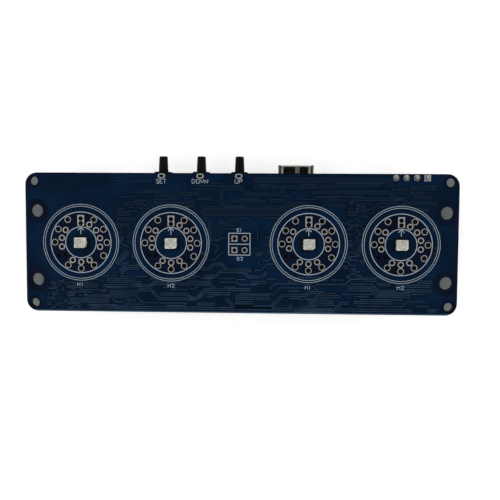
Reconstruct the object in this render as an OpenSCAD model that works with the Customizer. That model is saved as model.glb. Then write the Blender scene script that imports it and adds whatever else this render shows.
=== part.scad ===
// Four-tube clock board: the bare main board of a glow-tube clock, seen with no tubes fitted.
// The tubes' pin positions, lamps behind the tubes, solder points and lettering side face up (+Z).
// Z = 0 is the underside of the board, X runs left to right and Y runs front to rear, where the
// buttons and the power socket are. Everything below Z = 0 hangs from the underside.

/* [Board] */
// Width of the circuit board, left to right
board_w = 108; // [106:0.5:114]
// Depth of the circuit board, front to rear
board_d = 35; // [35:0.5:40]
// Thickness of the circuit board
board_t = 1.6; // [1.2:0.1:2.4]
// Radius of the board's corners
corner_r = 3; // [1:0.25:3.5]

/* [Mounting holes] */
// Distance of the corner holes' centres from the board's edges
corner_hole_inset = 2.1; // [1.9:0.1:3]
// Radius of the corner holes, for M2 screws
corner_hole_r = 1.1; // [0.8:0.05:1.3]
// Distance of the standoff holes from the board's sides
standoff_inset = 2.8; // [2.5:0.1:3.5]
// Spacing of the standoff holes, front to rear
standoff_d = 17.4; // [15:0.1:19]
// Distance of the standoff holes' middle in front of the board's middle
standoff_shift = 0.8; // [0:0.1:1.5]
// Radius of the standoff holes, for M3 screws
standoff_hole_r = 1.6; // [1.2:0.1:1.8]

/* [Tube positions] */
// Distance of the two outer tubes from the middle
tube_x_outer = 40; // [39.5:0.1:41]
// Distance of the two inner tubes from the middle
tube_x_inner = 17.2; // [17:0.1:18]
// Radius of the outer circle of twelve pin positions
outer_ring_r = 6.6; // [6.4:0.05:6.8]
// Radius of the inner circle of fourteen pin positions
inner_ring_r = 4.95; // [4.8:0.05:5.1]
// Distance of the outer anode hole from the tube's axis
anode_outer_r = 6; // [5.9:0.05:6.2]
// Distance of the inner anode hole from the tube's axis
anode_inner_r = 4.8; // [4.6:0.05:4.85]
// Radius of the outer circle's plated holes
outer_hole_r = 0.55; // [0.45:0.05:0.6]
// Radius of the inner circle's plated holes
inner_hole_r = 0.45; // [0.4:0.05:0.5]
// Width of tinned copper round a pin hole
pad_rim = 0.35; // [0.25:0.05:0.4]
// Width of the rectangular anode pad
anode_pad_w = 1.72; // [1.6:0.02:1.9]
// Length of the rectangular anode pad
anode_pad_l = 2.66; // [2.4:0.02:2.8]

/* [Plating] */
// Thickness of the tinned copper on the board's faces
pad_t = 0.06; // [0.03:0.01:0.1]
// Thickness of the plating in a hole
plating_t = 0.06; // [0.03:0.01:0.1]

/* [Separator lamp positions] */
// Place of the two separator lamps' middle, front to rear
separator_y = -0.19; // [-0.3:0.01:0.3]
// Distance between the two holes of one separator lamp
separator_pitch = 2.54; // [2:0.02:3]
// Distance between the two separator lamps, front to rear
separator_d = 2.87; // [2.4:0.01:3.4]
// Radius of a separator lamp's holes
separator_hole_r = 0.45; // [0.35:0.05:0.5]
// Outer radius, or half the side, of a separator lamp's pad
separator_pad_r = 0.8; // [0.65:0.05:0.9]

/* [Tube lamps] */
// Width of a lamp's housing, left to right
lamp_w = 3.2; // [2.8:0.1:3.6]
// Depth of a lamp's housing, front to rear
lamp_d = 2.8; // [2.6:0.1:3.4]
// Height of a lamp's housing
lamp_h = 1.9; // [1.4:0.1:2.4]
// Radius of the reflector cup at its mouth
lamp_cup_r = 1.2; // [0.8:0.05:1.25]
// Depth of the reflector cup
lamp_cup_depth = 0.9; // [0.5:0.05:1.1]
// Size of the corner that marks the lamp's first lead
lamp_corner = 0.5; // [0.2:0.05:0.7]

/* [Buttons] */
// Place of the right-hand button, left to right
button_x = -0.25; // [-0.5:0.05:0]
// Spacing of the three buttons
button_pitch = 9.65; // [9:0.05:10]
// Length of the stem in front of the switch
stem_l = 3.9; // [2:0.1:8]
// Radius of the stem at its tip
stem_tip_r = 1.05; // [0.8:0.05:1.1]
// Radius of the stem where it enters the switch
stem_base_r = 1.22; // [1.12:0.01:1.3]
// Rounding of the stem's tip
stem_round = 0.22; // [0.1:0.02:0.4]
// How far a button travels
button_travel = 0.25; // [0.15:0.05:0.35]
// Gap round the stem in the switch
stem_clearance = 0.12; // [0.08:0.01:0.2]

/* [Switches] */
// Width of a switch, left to right
switch_w = 4.2; // [4:0.1:4.6]
// Height of a switch below the board
switch_h = 3.8; // [3.6:0.1:4.2]
// How far a switch stands out past the board's rear edge
switch_overhang = 0.35; // [0.1:0.05:0.8]
// Length of a switch's moulded housing, front to rear
switch_housing_l = 2.9; // [2.7:0.1:3.4]
// Thickness of the wall that the stem passes through
switch_wall = 0.8; // [0.6:0.05:1]
// Thickness of the carrier that closes a switch
carrier_l = 0.9; // [0.6:0.05:1.2]
// Radius of the stem's inner shoulder
shoulder_r = 1.52; // [1.48:0.01:1.6]
// Thickness of the stem's inner shoulder
shoulder_l = 0.45; // [0.3:0.05:0.6]
// Radius of the snap dome
dome_r = 1.4; // [1.2:0.05:1.45]
// Rise of the snap dome when it is pressed
dome_rise = 0.3; // [0.2:0.02:0.36]
// Distance of the plated slots from the board's rear edge
slot_inset = 0.74; // [0.72:0.02:1]
// Length of a plated slot
slot_l = 1.15; // [0.95:0.05:1.3]
// Width of a plated slot
slot_w = 0.65; // [0.5:0.05:0.7]
// Width of tinned copper round a slot
slot_rim = 0.4; // [0.3:0.05:0.45]

/* [Power socket] */
// Place of the power socket, left to right
socket_x = 13.9; // [13.5:0.1:14.5]
// Width of the socket's metal shell
socket_w = 8.94; // [8.8:0.02:9.2]
// Height of the socket's metal shell
socket_h = 3.26; // [3.1:0.02:3.4]
// Length of the socket's metal shell
socket_l = 7.35; // [6.8:0.05:8]
// Thickness of the socket's metal shell
socket_wall = 0.3; // [0.2:0.02:0.36]
// How far the socket stands out past the board's rear edge
socket_overhang = 2.1; // [1:0.1:2.4]
// Width of the socket's tongue
tongue_w = 6.69; // [6.4:0.01:6.9]
// Thickness of the socket's tongue
tongue_t = 0.7; // [0.6:0.02:0.8]
// Distance of the tongue's tip behind the shell's mouth
tongue_setback = 0.7; // [0.4:0.1:1.2]
// Spacing of the socket's contacts
contact_pitch = 0.5; // [0.46:0.01:0.54]

/* [Header] */
// Number of the header's pins
header_count = 4; // [2:1:4]
// Spacing of the header's pins
header_pitch = 2.54; // [2.4:0.02:2.6]
// Distance of the header's last pin from the board's right side
header_side = 7.85; // [7.5:0.05:9]
// Distance of the header's pins from the board's rear edge
header_inset = 1; // [0.9:0.05:1.5]
// Side of a square pin
pin_w = 0.64; // [0.5:0.02:0.66]
// Length of a pin below the board
pin_drop = 8.5; // [6:0.1:9.8]
// Height of a pin above the board
pin_rise = 0.75; // [0.5:0.05:0.8]
// Width of the header's moulded strip, front to rear
strip_w = 2; // [1.6:0.05:2]
// Height of the header's moulded strip
strip_h = 2.5; // [2:0.1:3]

/* [Reservoir capacitors] */
// Radius of a capacitor's can
can_r = 4; // [3.7:0.05:4.05]
// Height of a capacitor, from the board to its flat end
can_h = 10.2; // [9.9:0.1:12]
// Thickness of a can's wall
can_wall = 0.3; // [0.2:0.02:0.4]
// How far a capacitor's moulded base stands out past its can
can_base_rim = 0.15; // [0.1:0.05:0.25]
// Thickness of a capacitor's moulded base
can_base_h = 1.3; // [1.1:0.05:1.6]
// Distance of a front capacitor's base from the board's side
can_side_gap = 8.85; // [8:0.05:9]
// Distance of a capacitor's base from the board's front or rear edge
can_edge_gap = 0.75; // [0.5:0.05:1]

/* [Coin cell] */
// Diameter of the coin cell
cell_dia = 12.5; // [12:0.1:12.6]
// Thickness of the coin cell
cell_t = 2; // [1.6:0.1:2.4]
// Gap between the coin cell and its retainer
cell_clearance = 0.12; // [0.08:0.02:0.2]
// Gap between the coin cell and the board
cell_lift = 0.3; // [0.25:0.05:0.5]
// Thickness of the retainer's sheet metal
retainer_t = 0.3; // [0.2:0.05:0.4]
// Place of the coin cell, front to rear
cell_y = -9.2; // [-9.3:0.05:-9]

/* [Converter] */
// Side of the storage inductor
inductor_w = 7.3; // [6.8:0.1:7.4]
// Height of the storage inductor
inductor_h = 4.5; // [3.5:0.1:5.5]
// Width of the power transistor's body
mosfet_w = 6.6; // [6:0.1:6.8]
// Length of the power transistor's body
mosfet_l = 6.1; // [5.6:0.1:6.3]
// Height of the power transistor's body
mosfet_h = 2.3; // [2:0.1:2.6]
// Length of the rectifier diode's body
diode_l = 4.3; // [3.8:0.1:4.6]
// Width of the rectifier diode's body
diode_w = 2.2; // [1.8:0.1:2.3]
// Height of the rectifier diode's body
diode_h = 2.1; // [1.8:0.1:2.4]

/* [Chips] */
// Gap between the microcontroller's leads and the switches
mcu_gap = 1; // [0.5:0.1:1.5]
// Side of the microcontroller's body
mcu_w = 7; // [6.6:0.1:7.1]
// Thickness of the microcontroller's body
mcu_h = 1.4; // [1:0.1:1.6]
// Spacing of the microcontroller's leads
mcu_pitch = 0.8; // [0.7:0.02:0.82]
// Length of a display driver's body
driver_l = 9.9; // [9.6:0.05:10]
// Width of the bodies of the drivers and the two small chips
chip_w = 3.9; // [3.6:0.05:4]
// Height of the drivers and the two small chips
chip_h = 1.7; // [1.4:0.05:2]
// Length of the two small chips' bodies
small_chip_l = 4.9; // [4.7:0.05:5]
// Spacing of the leads of the drivers and the two small chips
chip_pitch = 1.27; // [1.2:0.01:1.28]
// How far a chip's leads reach out past its body
lead_reach = 1.05; // [0.9:0.05:1.1]

/* [Small parts] */
// Length of a large chip resistor, which feeds a tube
resistor_l = 3.2; // [2.8:0.1:3.4]
// Width of a large chip resistor
resistor_w = 1.6; // [1.4:0.1:1.8]
// Length of a small chip part
chip_part_l = 1.6; // [1.4:0.1:1.8]
// Width of a small chip part
chip_part_w = 0.8; // [0.6:0.05:0.9]
// Length of a small transistor's body
transistor_l = 2.9; // [2.6:0.1:3.1]
// Width of a small transistor's body
transistor_w = 1.3; // [1.2:0.05:1.5]

/* [Hidden] */
$fn = 48;
BUTTONS = ["set", "down", "up"];
SWITCH_NODES = ["button", "switch_housing", "switch_carrier", "switch_dome", "switch_terminals"];

// Places on the board
rear = board_d / 2;
tubes = [[-tube_x_outer, 0], [-tube_x_inner, 0], [tube_x_inner, 0], [tube_x_outer, 0]];
button_xs = [button_x - 2 * button_pitch, button_x - button_pitch, button_x];
slot_y = rear - slot_inset;
header_y = rear - header_inset;
header_xs = [for (i = [0 : header_count - 1])
    board_w / 2 - header_side - (header_count - 1 - i) * header_pitch];
header_hole_r = pin_w * 0.5 * sqrt(2) + 0.05;
header_pad_r = 0.8;

// Pads and holes: the angle runs clockwise from the rear, so 0 is the anode's place
outer_angles = [30, 60, 90, 120, 150, 180, 210, 270, 300, 330];
inner_step = 360 / 14;
inner_places = [1, 2, 3, 4, 6, 7, 8, 10, 11, 12];
bare_outer_angle = 240;
bare_inner_place = 9;
bare_ring_r = 6.35;
bare_hole_r = 0.5;
drill_gap = 0.01;
under_pad = pad_t + 0.02;
function clockwise(r, angle) = [r * sin(angle), r * cos(angle)];

// One pad: its place, its hole's radius and the radius of its copper
outer_pads = [for (a = outer_angles) [clockwise(outer_ring_r, a), outer_hole_r, outer_hole_r + pad_rim]];
inner_pads = [for (i = inner_places)
    [clockwise(inner_ring_r, i * inner_step), inner_hole_r, inner_hole_r + pad_rim]];
ring_pads = concat(outer_pads, inner_pads);
anode_holes = [[0, anode_outer_r], [0, anode_inner_r]];
anode_pad_y = (anode_outer_r + anode_inner_r) / 2 + 0.16;
bare_holes = [clockwise(bare_ring_r, bare_outer_angle), clockwise(inner_ring_r, bare_inner_place * inner_step)];
separator_holes = [for (x = [-1, 1], y = [-1, 1])
    [x * separator_pitch / 2, separator_y + y * separator_d / 2]];

// Tube lamps
lamp_foot_t = 0.12;
lamp_lens_fall = 0.02;
lamp_cup_floor_r = lamp_cup_r - 0.25;

// Switch, measured from its front face along the stem
switch_y = rear + switch_overhang;
switch_axis_z = switch_h / 2;
switch_round = 0.4;
pocket_r = shoulder_r + stem_clearance;
shoulder_gap = 0.04;
shoulder_y = switch_wall + shoulder_gap;
nub_r = 0.5;
dome_t = 0.08;
dome_gap = 0.03;
nub_end_y = switch_housing_l - dome_rise - button_travel - dome_gap;
peg_clearance = 0.08;
terminal_t = 0.18;
terminal_w = 0.6;
terminal_reach = 0.8;
terminal_rise = 1.4;
terminal_ys = [0.9, 2.6];

// Power socket
socket_r = socket_h / 2;
socket_y = rear + socket_overhang;
insulator_back_l = 1.9;
tongue_l = socket_l - tongue_setback - insulator_back_l / 2;
insulator_fit = 0.03;
contact_count = 12;
contact_w = 0.24;
contact_t = 0.05;
contact_l = 3.2;
window_front = 0.45;
window_l = 1.3;
windows = [[-3.1, 2.9], [0.9, 2.1]];
shell_foot_l = 1.3;
shell_foot_ys = [socket_overhang + 0.8 + shell_foot_l / 2, socket_l - shell_foot_l];
shell_foot_reach = 0.67;
shell_foot_root = 0.68;

// Coin cell
retainer_in = cell_dia / 2 + cell_clearance;
retainer_wrap = 3.4;
retainer_tab = 1.3;
retainer_tab_w = 2.4;
cell_rim_w = 1;
cell_face_t = 0.3;

// Capacitors
tab_t = 0.15;
can_tab_out = 0.2;
can_tab_w = 0.8;
can_tab_l = 3;
can_seat = 0.55;
groove_z = 2.9;
groove_r = 0.25;
end_round = 0.5;
bung_h = 2.4;
fit_gap = 0.05;

// Storage inductor
shield_bore_r = inductor_w / 2 - 0.6;
drum_r = shield_bore_r - 0.15;
flange_h = inductor_h * 0.2;
post_r = drum_r * 0.45;
inductor_lip = 0.1;
inductor_pad_l = 2.4;
inductor_pad_w = 1.4;

// Power transistor
mosfet_tab_t = 0.5;
mosfet_tab_w = mosfet_w - 1.2;
mosfet_tab_reach = 1.1;
mosfet_lead_w = 0.76;
mosfet_lead_reach = 2.4;
mosfet_lead_pitch = 2.28;

// Chips
body_lift = 0.1;
lead_t = 0.15;
lead_foot = 0.5;
chip_lead_w = 0.42;
mcu_lead_t = 0.12;
mcu_lead_w = 0.37;
mcu_reach = 1;
crystal_l = 3.2;
crystal_w = 2.5;
crystal_base_h = 0.5;
crystal_lid_h = 0.2;
crystal_lid_inset = 0.2;
resistor_h = 0.6;
small_resistor_h = 0.45;
chip_capacitor_h = 0.8;
transistor_h = 1;
transistor_lead_w = 0.4;
transistor_lead_rise = 0.6;
transistor_reach = 0.55;
transistor_foot = 0.3;
driver_lead_count = 16;
small_chip_lead_count = 8;
dimple_r = 0.4;
dimple_depth = 0.1;

// Reservoir capacitors and the coin cell
gap_x = (tube_x_outer + tube_x_inner) / 2;
cell_x = -gap_x;
can_base_w = 2 * (can_r + can_base_rim);
can_y = rear - can_edge_gap - can_base_w / 2;
can_front_x = board_w / 2 - can_side_gap - can_base_w / 2;
cans = [[-gap_x, can_y], [gap_x, can_y], [-can_front_x, -can_y], [can_front_x, -can_y]];

// Rows of parts under the board: the front row clears the tubes' pins, the rear row the header
ring_edge = outer_ring_r + outer_hole_r + pad_rim;
chip_half = chip_w / 2 + lead_reach;
front_row_gap = 1.7;
front_row_y = -(ring_edge + front_row_gap + chip_half);
rear_row_gap = 0.5;
rear_row_y = header_y - strip_w / 2 - rear_row_gap - chip_half;
part_gap = 1.1;
driver_gap = 0.7;
driver_step = driver_l + driver_gap;
first_driver_x = cell_x + retainer_in + retainer_t + retainer_tab + driver_gap + driver_l / 2;
front_drivers = [for (i = [0 : 2]) [first_driver_x + i * driver_step, front_row_y]];
drivers = concat([[-can_front_x, rear_row_y]], front_drivers, [[tube_x_outer, rear_row_y]]);
diode_at = [can_front_x - can_base_w / 2 - part_gap - diode_w / 2, front_row_y];
inductor_at = [diode_at.x - diode_w / 2 - part_gap - inductor_w / 2, front_row_y];
mosfet_at = [inductor_at.x - inductor_w / 2 - part_gap - mosfet_lead_reach - mosfet_l / 2, front_row_y];
switch_back_y = switch_y - switch_housing_l - carrier_l;
mcu_half = mcu_w / 2 + mcu_reach;
mcu_at = [button_x - button_pitch / 2, switch_back_y - mcu_gap - mcu_half];
crystal_shift = 2.2;
crystal_at = [mcu_at.x - mcu_half - part_gap - crystal_l / 2, mcu_at.y + crystal_shift];
clock_chip_at = [mcu_at.x + mcu_half + part_gap + small_chip_l / 2, mcu_at.y];
converter_gap = 0.25;
converter_chip_at = [
    gap_x - can_base_w / 2 - can_tab_out - converter_gap - chip_half,
    socket_y - socket_l - converter_gap - small_chip_l / 2,
];

// Small parts in the clear ground between the tubes and before the front row
row_part_gap = 0.4;
front_capacitor_y = front_row_y - chip_half - row_part_gap - chip_part_w / 2;
front_capacitors = [for (d = front_drivers) [d.x, front_capacitor_y]];
mcu_capacitor_shift = 1.5;
other_capacitors = [
    [mcu_at.x - mcu_half - row_part_gap - chip_part_l / 2, mcu_at.y - mcu_capacitor_shift],
    [clock_chip_at.x, clock_chip_at.y + chip_half + row_part_gap + chip_part_w / 2],
    [diode_at.x, front_capacitor_y],
];
big_resistor_y = 0.2;
big_resistor_gap = 1;
big_resistors = [for (side = [-1, 1], i = [0, 1])
    [side * gap_x, big_resistor_y + i * (resistor_w + big_resistor_gap)]];
small_resistor_x = 5.2;
small_resistor_y = -2.6;
small_resistor_gap = 1.2;
small_resistors = [for (side = [-1, 1], i = [0 : 2])
    [side * small_resistor_x, small_resistor_y + i * (chip_part_w + small_resistor_gap)]];
transistor_x = 7.7;
transistor_y = -3.2;
transistor_gap = 0.7;
transistors = [for (side = [-1, 1], i = [0, 1])
    [side * transistor_x, transistor_y + i * (transistor_l + transistor_gap)]];

// A rounded rectangle about the origin, with true arcs
module round_rect(w, d, r) {
    square([w - 2 * r, d], center = true);
    square([w, d - 2 * r], center = true);
    for (x = [-1, 1], y = [-1, 1])
        translate([x * (w / 2 - r), y * (d / 2 - r)])
            circle(r = r);
}

// A slot about the origin, along X
module slot_shape(l, w) {
    square([l - w, w], center = true);
    for (x = [-1, 1])
        translate([x * (l - w) / 2, 0])
            circle(d = w);
}

// A piece built upwards from Z = 0 is hung from the underside at a place, turned about Z
module hang(at, turn = 0) {
    translate([at.x, at.y, 0])
        mirror([0, 0, 1])
            rotate(turn)
                children();
}

// A box centred in X and Y that stands on Z = z
module block(size, z = 0) {
    translate([-size.x / 2, -size.y / 2, z])
        cube(size);
}

// A lead seen from the side: it leaves the body at the given height and ends in a foot on Z = 0
module gull_lead(w, reach, rise, foot = lead_foot, t = lead_t) {
    translate([0, w / 2, 0])
        rotate([90, 0, 0])
            linear_extrude(w)
                polygon([
                    [0, rise],
                    [reach - foot, rise],
                    [reach - foot + 0.6 * t, t],
                    [reach, t],
                    [reach, 0],
                    [reach - foot - t, 0],
                    [reach - foot - t, rise - t],
                    [0, rise - t],
                ]);
}

// Holes of every kind that go through the board
module board_holes() {
    for (x = [-1, 1], y = [-1, 1]) {
        translate([x * (board_w / 2 - corner_hole_inset), y * (board_d / 2 - corner_hole_inset)])
            circle(r = corner_hole_r);
        translate([x * (board_w / 2 - standoff_inset), y * standoff_d / 2 - standoff_shift])
            circle(r = standoff_hole_r);
    }
    for (t = tubes)
        translate(t)
            tube_drillings();
    for (h = separator_holes)
        translate(h)
            circle(r = separator_hole_r + plating_t + drill_gap);
    for (x = header_xs)
        translate([x, header_y])
            circle(r = header_hole_r + plating_t + drill_gap);
    for (x = button_xs)
        translate([x, slot_y])
            slot_shape(slot_l + 2 * (plating_t + drill_gap), slot_w + 2 * (plating_t + drill_gap));
}

module tube_drillings() {
    for (p = ring_pads)
        translate(p[0])
            circle(r = p[1] + plating_t + drill_gap);
    for (h = anode_holes)
        translate(h)
            circle(r = outer_hole_r + plating_t + drill_gap);
    for (h = bare_holes)
        translate(h)
            circle(r = bare_hole_r);
}

module circuit_board() {
    color("midnightblue")
        linear_extrude(board_t)
            difference() {
                round_rect(board_w, board_d, corner_r);
                board_holes();
            }
}

// Tinned copper on both faces, joined by a plated barrel: child 0 is the outline of the copper,
// child 1 the outside of the barrels and child 2 the holes
module plated() {
    for (z = [-pad_t, board_t])
        translate([0, 0, z])
            linear_extrude(pad_t)
                difference() {
                    children(0);
                    children(2);
                }
    linear_extrude(board_t)
        difference() {
            children(1);
            children(2);
        }
}

module tube_holes(grow) {
    for (p = ring_pads)
        translate(p[0])
            circle(r = p[1] + grow);
    for (h = anode_holes)
        translate(h)
            circle(r = outer_hole_r + grow);
}

module tube_pads(at) {
    color("silver")
        translate([at.x, at.y, 0])
            plated() {
                union() {
                    for (p = ring_pads)
                        translate(p[0])
                            circle(r = p[2]);
                    translate([0, anode_pad_y])
                        square([anode_pad_w, anode_pad_l], center = true);
                }
                tube_holes(plating_t);
                tube_holes(0);
            }
}

module separator_pads() {
    color("silver")
        plated() {
            for (h = separator_holes)
                translate(h)
                    if (h.x < 0)
                        square(2 * separator_pad_r, center = true);
                    else
                        circle(r = separator_pad_r);
            for (h = separator_holes)
                translate(h)
                    circle(r = separator_hole_r + plating_t);
            for (h = separator_holes)
                translate(h)
                    circle(r = separator_hole_r);
        }
}

module switch_slot_pads() {
    color("silver")
        for (x = button_xs)
            translate([x, slot_y, 0])
                plated() {
                    slot_shape(slot_l + 2 * slot_rim, slot_w + 2 * slot_rim);
                    slot_shape(slot_l + 2 * plating_t, slot_w + 2 * plating_t);
                    slot_shape(slot_l, slot_w);
                }
}

module header_pads() {
    color("silver")
        plated() {
            for (i = [0 : header_count - 1])
                translate([header_xs[i], header_y])
                    if (i == header_count - 1)
                        square(2 * header_pad_r, center = true);
                    else
                        circle(r = header_pad_r);
            for (x = header_xs)
                translate([x, header_y])
                    circle(r = header_hole_r + plating_t);
            for (x = header_xs)
                translate([x, header_y])
                    circle(r = header_hole_r);
        }
}

// Lamps behind the tubes, on the board's upper face
module at_lamps() {
    for (t = tubes)
        translate([t.x, t.y, board_t])
            children();
}

module led_housings() {
    w = lamp_w / 2;
    d = lamp_d / 2;
    color("ivory")
        at_lamps()
            difference() {
                translate([0, 0, lamp_foot_t])
                    linear_extrude(lamp_h - lamp_foot_t)
                        polygon([[-w, -d], [w - lamp_corner, -d], [w, -d + lamp_corner], [w, d], [-w, d]]);
                translate([0, 0, lamp_h - lamp_cup_depth])
                    cylinder(h = lamp_cup_depth, r1 = lamp_cup_floor_r, r2 = lamp_cup_r);
            }
}

module led_lenses() {
    lens_h = lamp_cup_depth - lamp_lens_fall;
    lens_r = lamp_cup_floor_r + (lamp_cup_r - lamp_cup_floor_r) * lens_h / lamp_cup_depth;
    color("khaki")
        at_lamps()
            translate([0, 0, lamp_h - lamp_cup_depth])
                cylinder(h = lens_h, r1 = lamp_cup_floor_r, r2 = lens_r);
}

module led_leads() {
    lead_w = 0.8;
    lead_y = lamp_d / 2 - 0.2 - lead_w / 2;
    under_l = 0.5;
    climb = 0.9;
    color("silver")
        at_lamps()
            for (x = [-1, 1], y = [-1, 1])
                translate([x * lamp_w / 2, y * lead_y, 0]) {
                    translate([x * lamp_foot_t / 2, 0, 0])
                        block([lamp_foot_t, lead_w, climb]);
                    translate([-x * under_l / 2, 0, 0])
                        block([under_l, lead_w, lamp_foot_t]);
                }
}

// A piece of a switch drawn along +Y from the switch's front face is turned to point forward
module in_switch(x) {
    translate([x, switch_y, -switch_axis_z])
        rotate([90, 0, 0])
            children();
}

// The stem with its rounded tip, its shoulder inside the switch and the nub that meets the dome
module button(x) {
    arc = [for (a = [0 : 15 : 90])
        [stem_tip_r - stem_round + stem_round * cos(a), -stem_l + stem_round - stem_round * sin(a)]];
    color("black")
        in_switch(x)
            rotate_extrude()
                polygon(concat(
                    [[0, nub_end_y], [nub_r, nub_end_y], [nub_r, shoulder_y + shoulder_l]],
                    [[shoulder_r, shoulder_y + shoulder_l], [shoulder_r, shoulder_y], [stem_base_r, shoulder_y]],
                    [[stem_base_r, 0]],
                    arc,
                    [[0, -stem_l]]
                ));
}

module switch_housing(x) {
    color("black") {
        translate([x, switch_y - switch_housing_l, -switch_h])
            difference() {
                linear_extrude(switch_h - under_pad)
                    intersection() {
                        round_rect(switch_w, 2 * switch_housing_l, switch_round);
                        translate([-switch_w / 2, 0])
                            square([switch_w, switch_housing_l]);
                    }
                translate([0, switch_housing_l + 1, switch_h / 2])
                    rotate([90, 0, 0])
                        cylinder(h = switch_housing_l + 2, r = stem_base_r + stem_clearance);
                translate([0, switch_housing_l - switch_wall, switch_h / 2])
                    rotate([90, 0, 0])
                        cylinder(h = switch_housing_l, r = pocket_r);
            }
        translate([x, slot_y, -under_pad])
            block([slot_l - slot_w, slot_w - 2 * peg_clearance, board_t / 2 + under_pad]);
    }
}

module switch_carrier(x) {
    color("dimgray")
        translate([x, switch_y - switch_housing_l - carrier_l / 2, -switch_h])
            block([switch_w, carrier_l, switch_h - under_pad]);
}

// The snap dome, a thin cap of a sphere, in the flat shape that it has when the button is down
module switch_dome(x) {
    ball_r = (dome_r * dome_r + dome_rise * dome_rise) / (2 * dome_rise);
    color("silver")
        in_switch(x)
            translate([0, 0, switch_housing_l - dome_rise + ball_r])
                rotate_extrude()
                    intersection() {
                        difference() {
                            circle(r = ball_r, $fn = 180);
                            circle(r = ball_r - dome_t, $fn = 180);
                        }
                        translate([0, -ball_r])
                            square([dome_r, dome_rise]);
                    }
}

// Two contact legs on each side of a switch, bent out to feet on the board
module switch_terminals(x) {
    color("silver")
        for (side = [-1, 1], y = terminal_ys)
            translate([x + side * switch_w / 2, switch_y - y, 0]) {
                translate([side * terminal_t / 2, 0, -terminal_rise])
                    block([terminal_t, terminal_w, terminal_rise]);
                translate([side * terminal_reach / 2, 0, -terminal_t])
                    block([terminal_reach, terminal_w, terminal_t]);
            }
}

// The outline of the power socket's shell, seen from the rear
module stadium(inset = 0) {
    slot_shape(socket_w - 2 * inset, socket_h - 2 * inset);
}

module in_socket() {
    translate([socket_x, socket_y, -socket_r])
        rotate([90, 0, 0])
            children();
}

module usb_shell() {
    color("silver") {
        difference() {
            in_socket()
                linear_extrude(socket_l)
                    difference() {
                        stadium();
                        stadium(socket_wall);
                    }
            for (w = windows)
                translate([socket_x + w[0], socket_y - window_front - window_l, -2 * socket_wall])
                    cube([w[1], window_l, 3 * socket_wall]);
        }
        for (side = [-1, 1], y = shell_foot_ys)
            translate([socket_x + side * (socket_w / 2 + (shell_foot_reach - shell_foot_root) / 2), socket_y - y,
                    -socket_wall])
                block([shell_foot_reach + shell_foot_root, shell_foot_l, socket_wall]);
    }
}

module usb_insulator() {
    color("black") {
        in_socket()
            translate([0, 0, socket_l - insulator_back_l])
                linear_extrude(insulator_back_l)
                    stadium(socket_wall + insulator_fit);
        translate([socket_x, socket_y - tongue_setback - tongue_l / 2, -socket_r - tongue_t / 2])
            block([tongue_w, tongue_l, tongue_t]);
    }
}

module usb_contacts() {
    tail_l = 0.7;
    tail_z = 0.2;
    color("gold")
        for (i = [0 : contact_count - 1]) {
            x = socket_x + (i - (contact_count - 1) / 2) * contact_pitch;
            for (side = [-1, 1])
                translate([x, socket_y - tongue_setback - 0.4 - contact_l / 2,
                        -socket_r + side * (tongue_t + contact_t) / 2 - contact_t / 2])
                    block([contact_w, contact_l, contact_t]);
            translate([x, socket_y - socket_l - tail_l / 2, -tail_z])
                block([contact_w, tail_l, tail_z]);
            translate([x, socket_y - socket_l - tail_z / 2, -socket_r])
                block([contact_w, tail_z, socket_r]);
        }
}

module header_strip() {
    chamfer = 0.4;
    h = header_pitch / 2;
    w = strip_w / 2;
    color("black")
        for (i = [0 : header_count - 1])
            translate([header_xs[i], header_y, -strip_h])
                linear_extrude(strip_h - under_pad)
                    difference() {
                        polygon([
                            [-h, -w + chamfer], [-h + chamfer, -w], [h - chamfer, -w], [h, -w + chamfer],
                            [h, w - chamfer], [h - chamfer, w], [-h + chamfer, w], [-h, w - chamfer],
                        ]);
                        square(pin_w, center = true);
                    }
}

module header_pins() {
    color("gold")
        for (x = header_xs)
            translate([x, header_y, -pin_drop])
                block([pin_w, pin_w, pin_drop + board_t + pin_rise]);
}

// Solder cones on the upper face, round the header's pins
module header_solder() {
    cone_h = 0.9;
    cone_r = 0.42;
    foot_r = header_pad_r - 0.03;
    slope = [for (s = [0 : 0.2 : 1]) [foot_r + (cone_r - foot_r) * sin(90 * s), cone_h * (1 - cos(90 * s))]];
    color("silver")
        for (i = [0 : header_count - 1])
            translate([header_xs[i], header_y, board_t + pad_t])
                difference() {
                    union() {
                        rotate_extrude()
                            polygon(concat([[0, 0]], slope, [[0, cone_h]]));
                        if (i == header_count - 1)
                            block([2 * foot_r, 2 * foot_r, 0.15]);
                    }
                    block([pin_w, pin_w, 3 * cone_h], -cone_h);
                }
}

// Reservoir capacitors: a can over a rubber bung and the wound element, on a moulded base
module can_profile(h) {
    difference() {
        union() {
            square([can_r, h - end_round]);
            square([can_r - end_round, h]);
            translate([can_r - end_round, h - end_round])
                circle(r = end_round);
        }
        square([can_r - can_wall, h - can_wall]);
    }
}

module capacitor_cans() {
    color("silver")
        for (c = cans)
            hang(c)
                translate([0, 0, can_seat])
                    rotate_extrude()
                        difference() {
                            union() {
                                can_profile(can_h - can_seat);
                                intersection() {
                                    translate([can_r, groove_z - can_seat])
                                        circle(r = groove_r + can_wall);
                                    square([can_r, can_h - can_seat]);
                                }
                            }
                            translate([can_r, groove_z - can_seat])
                                circle(r = groove_r);
                        }
}

module capacitor_bungs() {
    color("dimgray")
        for (c = cans)
            hang(c)
                translate([0, 0, can_seat + fit_gap])
                    rotate_extrude()
                        difference() {
                            square([can_r - can_wall - fit_gap, bung_h + can_wall]);
                            translate([can_r, groove_z - can_seat - fit_gap])
                                circle(r = groove_r + can_wall + fit_gap);
                        }
}

module capacitor_windings() {
    low = can_seat + bung_h + can_wall + 2 * fit_gap;
    color("tan")
        for (c = cans)
            hang(c)
                translate([0, 0, low])
                    cylinder(h = can_h - can_wall - 3 * fit_gap - low, r = can_r - can_wall - 3 * fit_gap);
}

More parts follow.
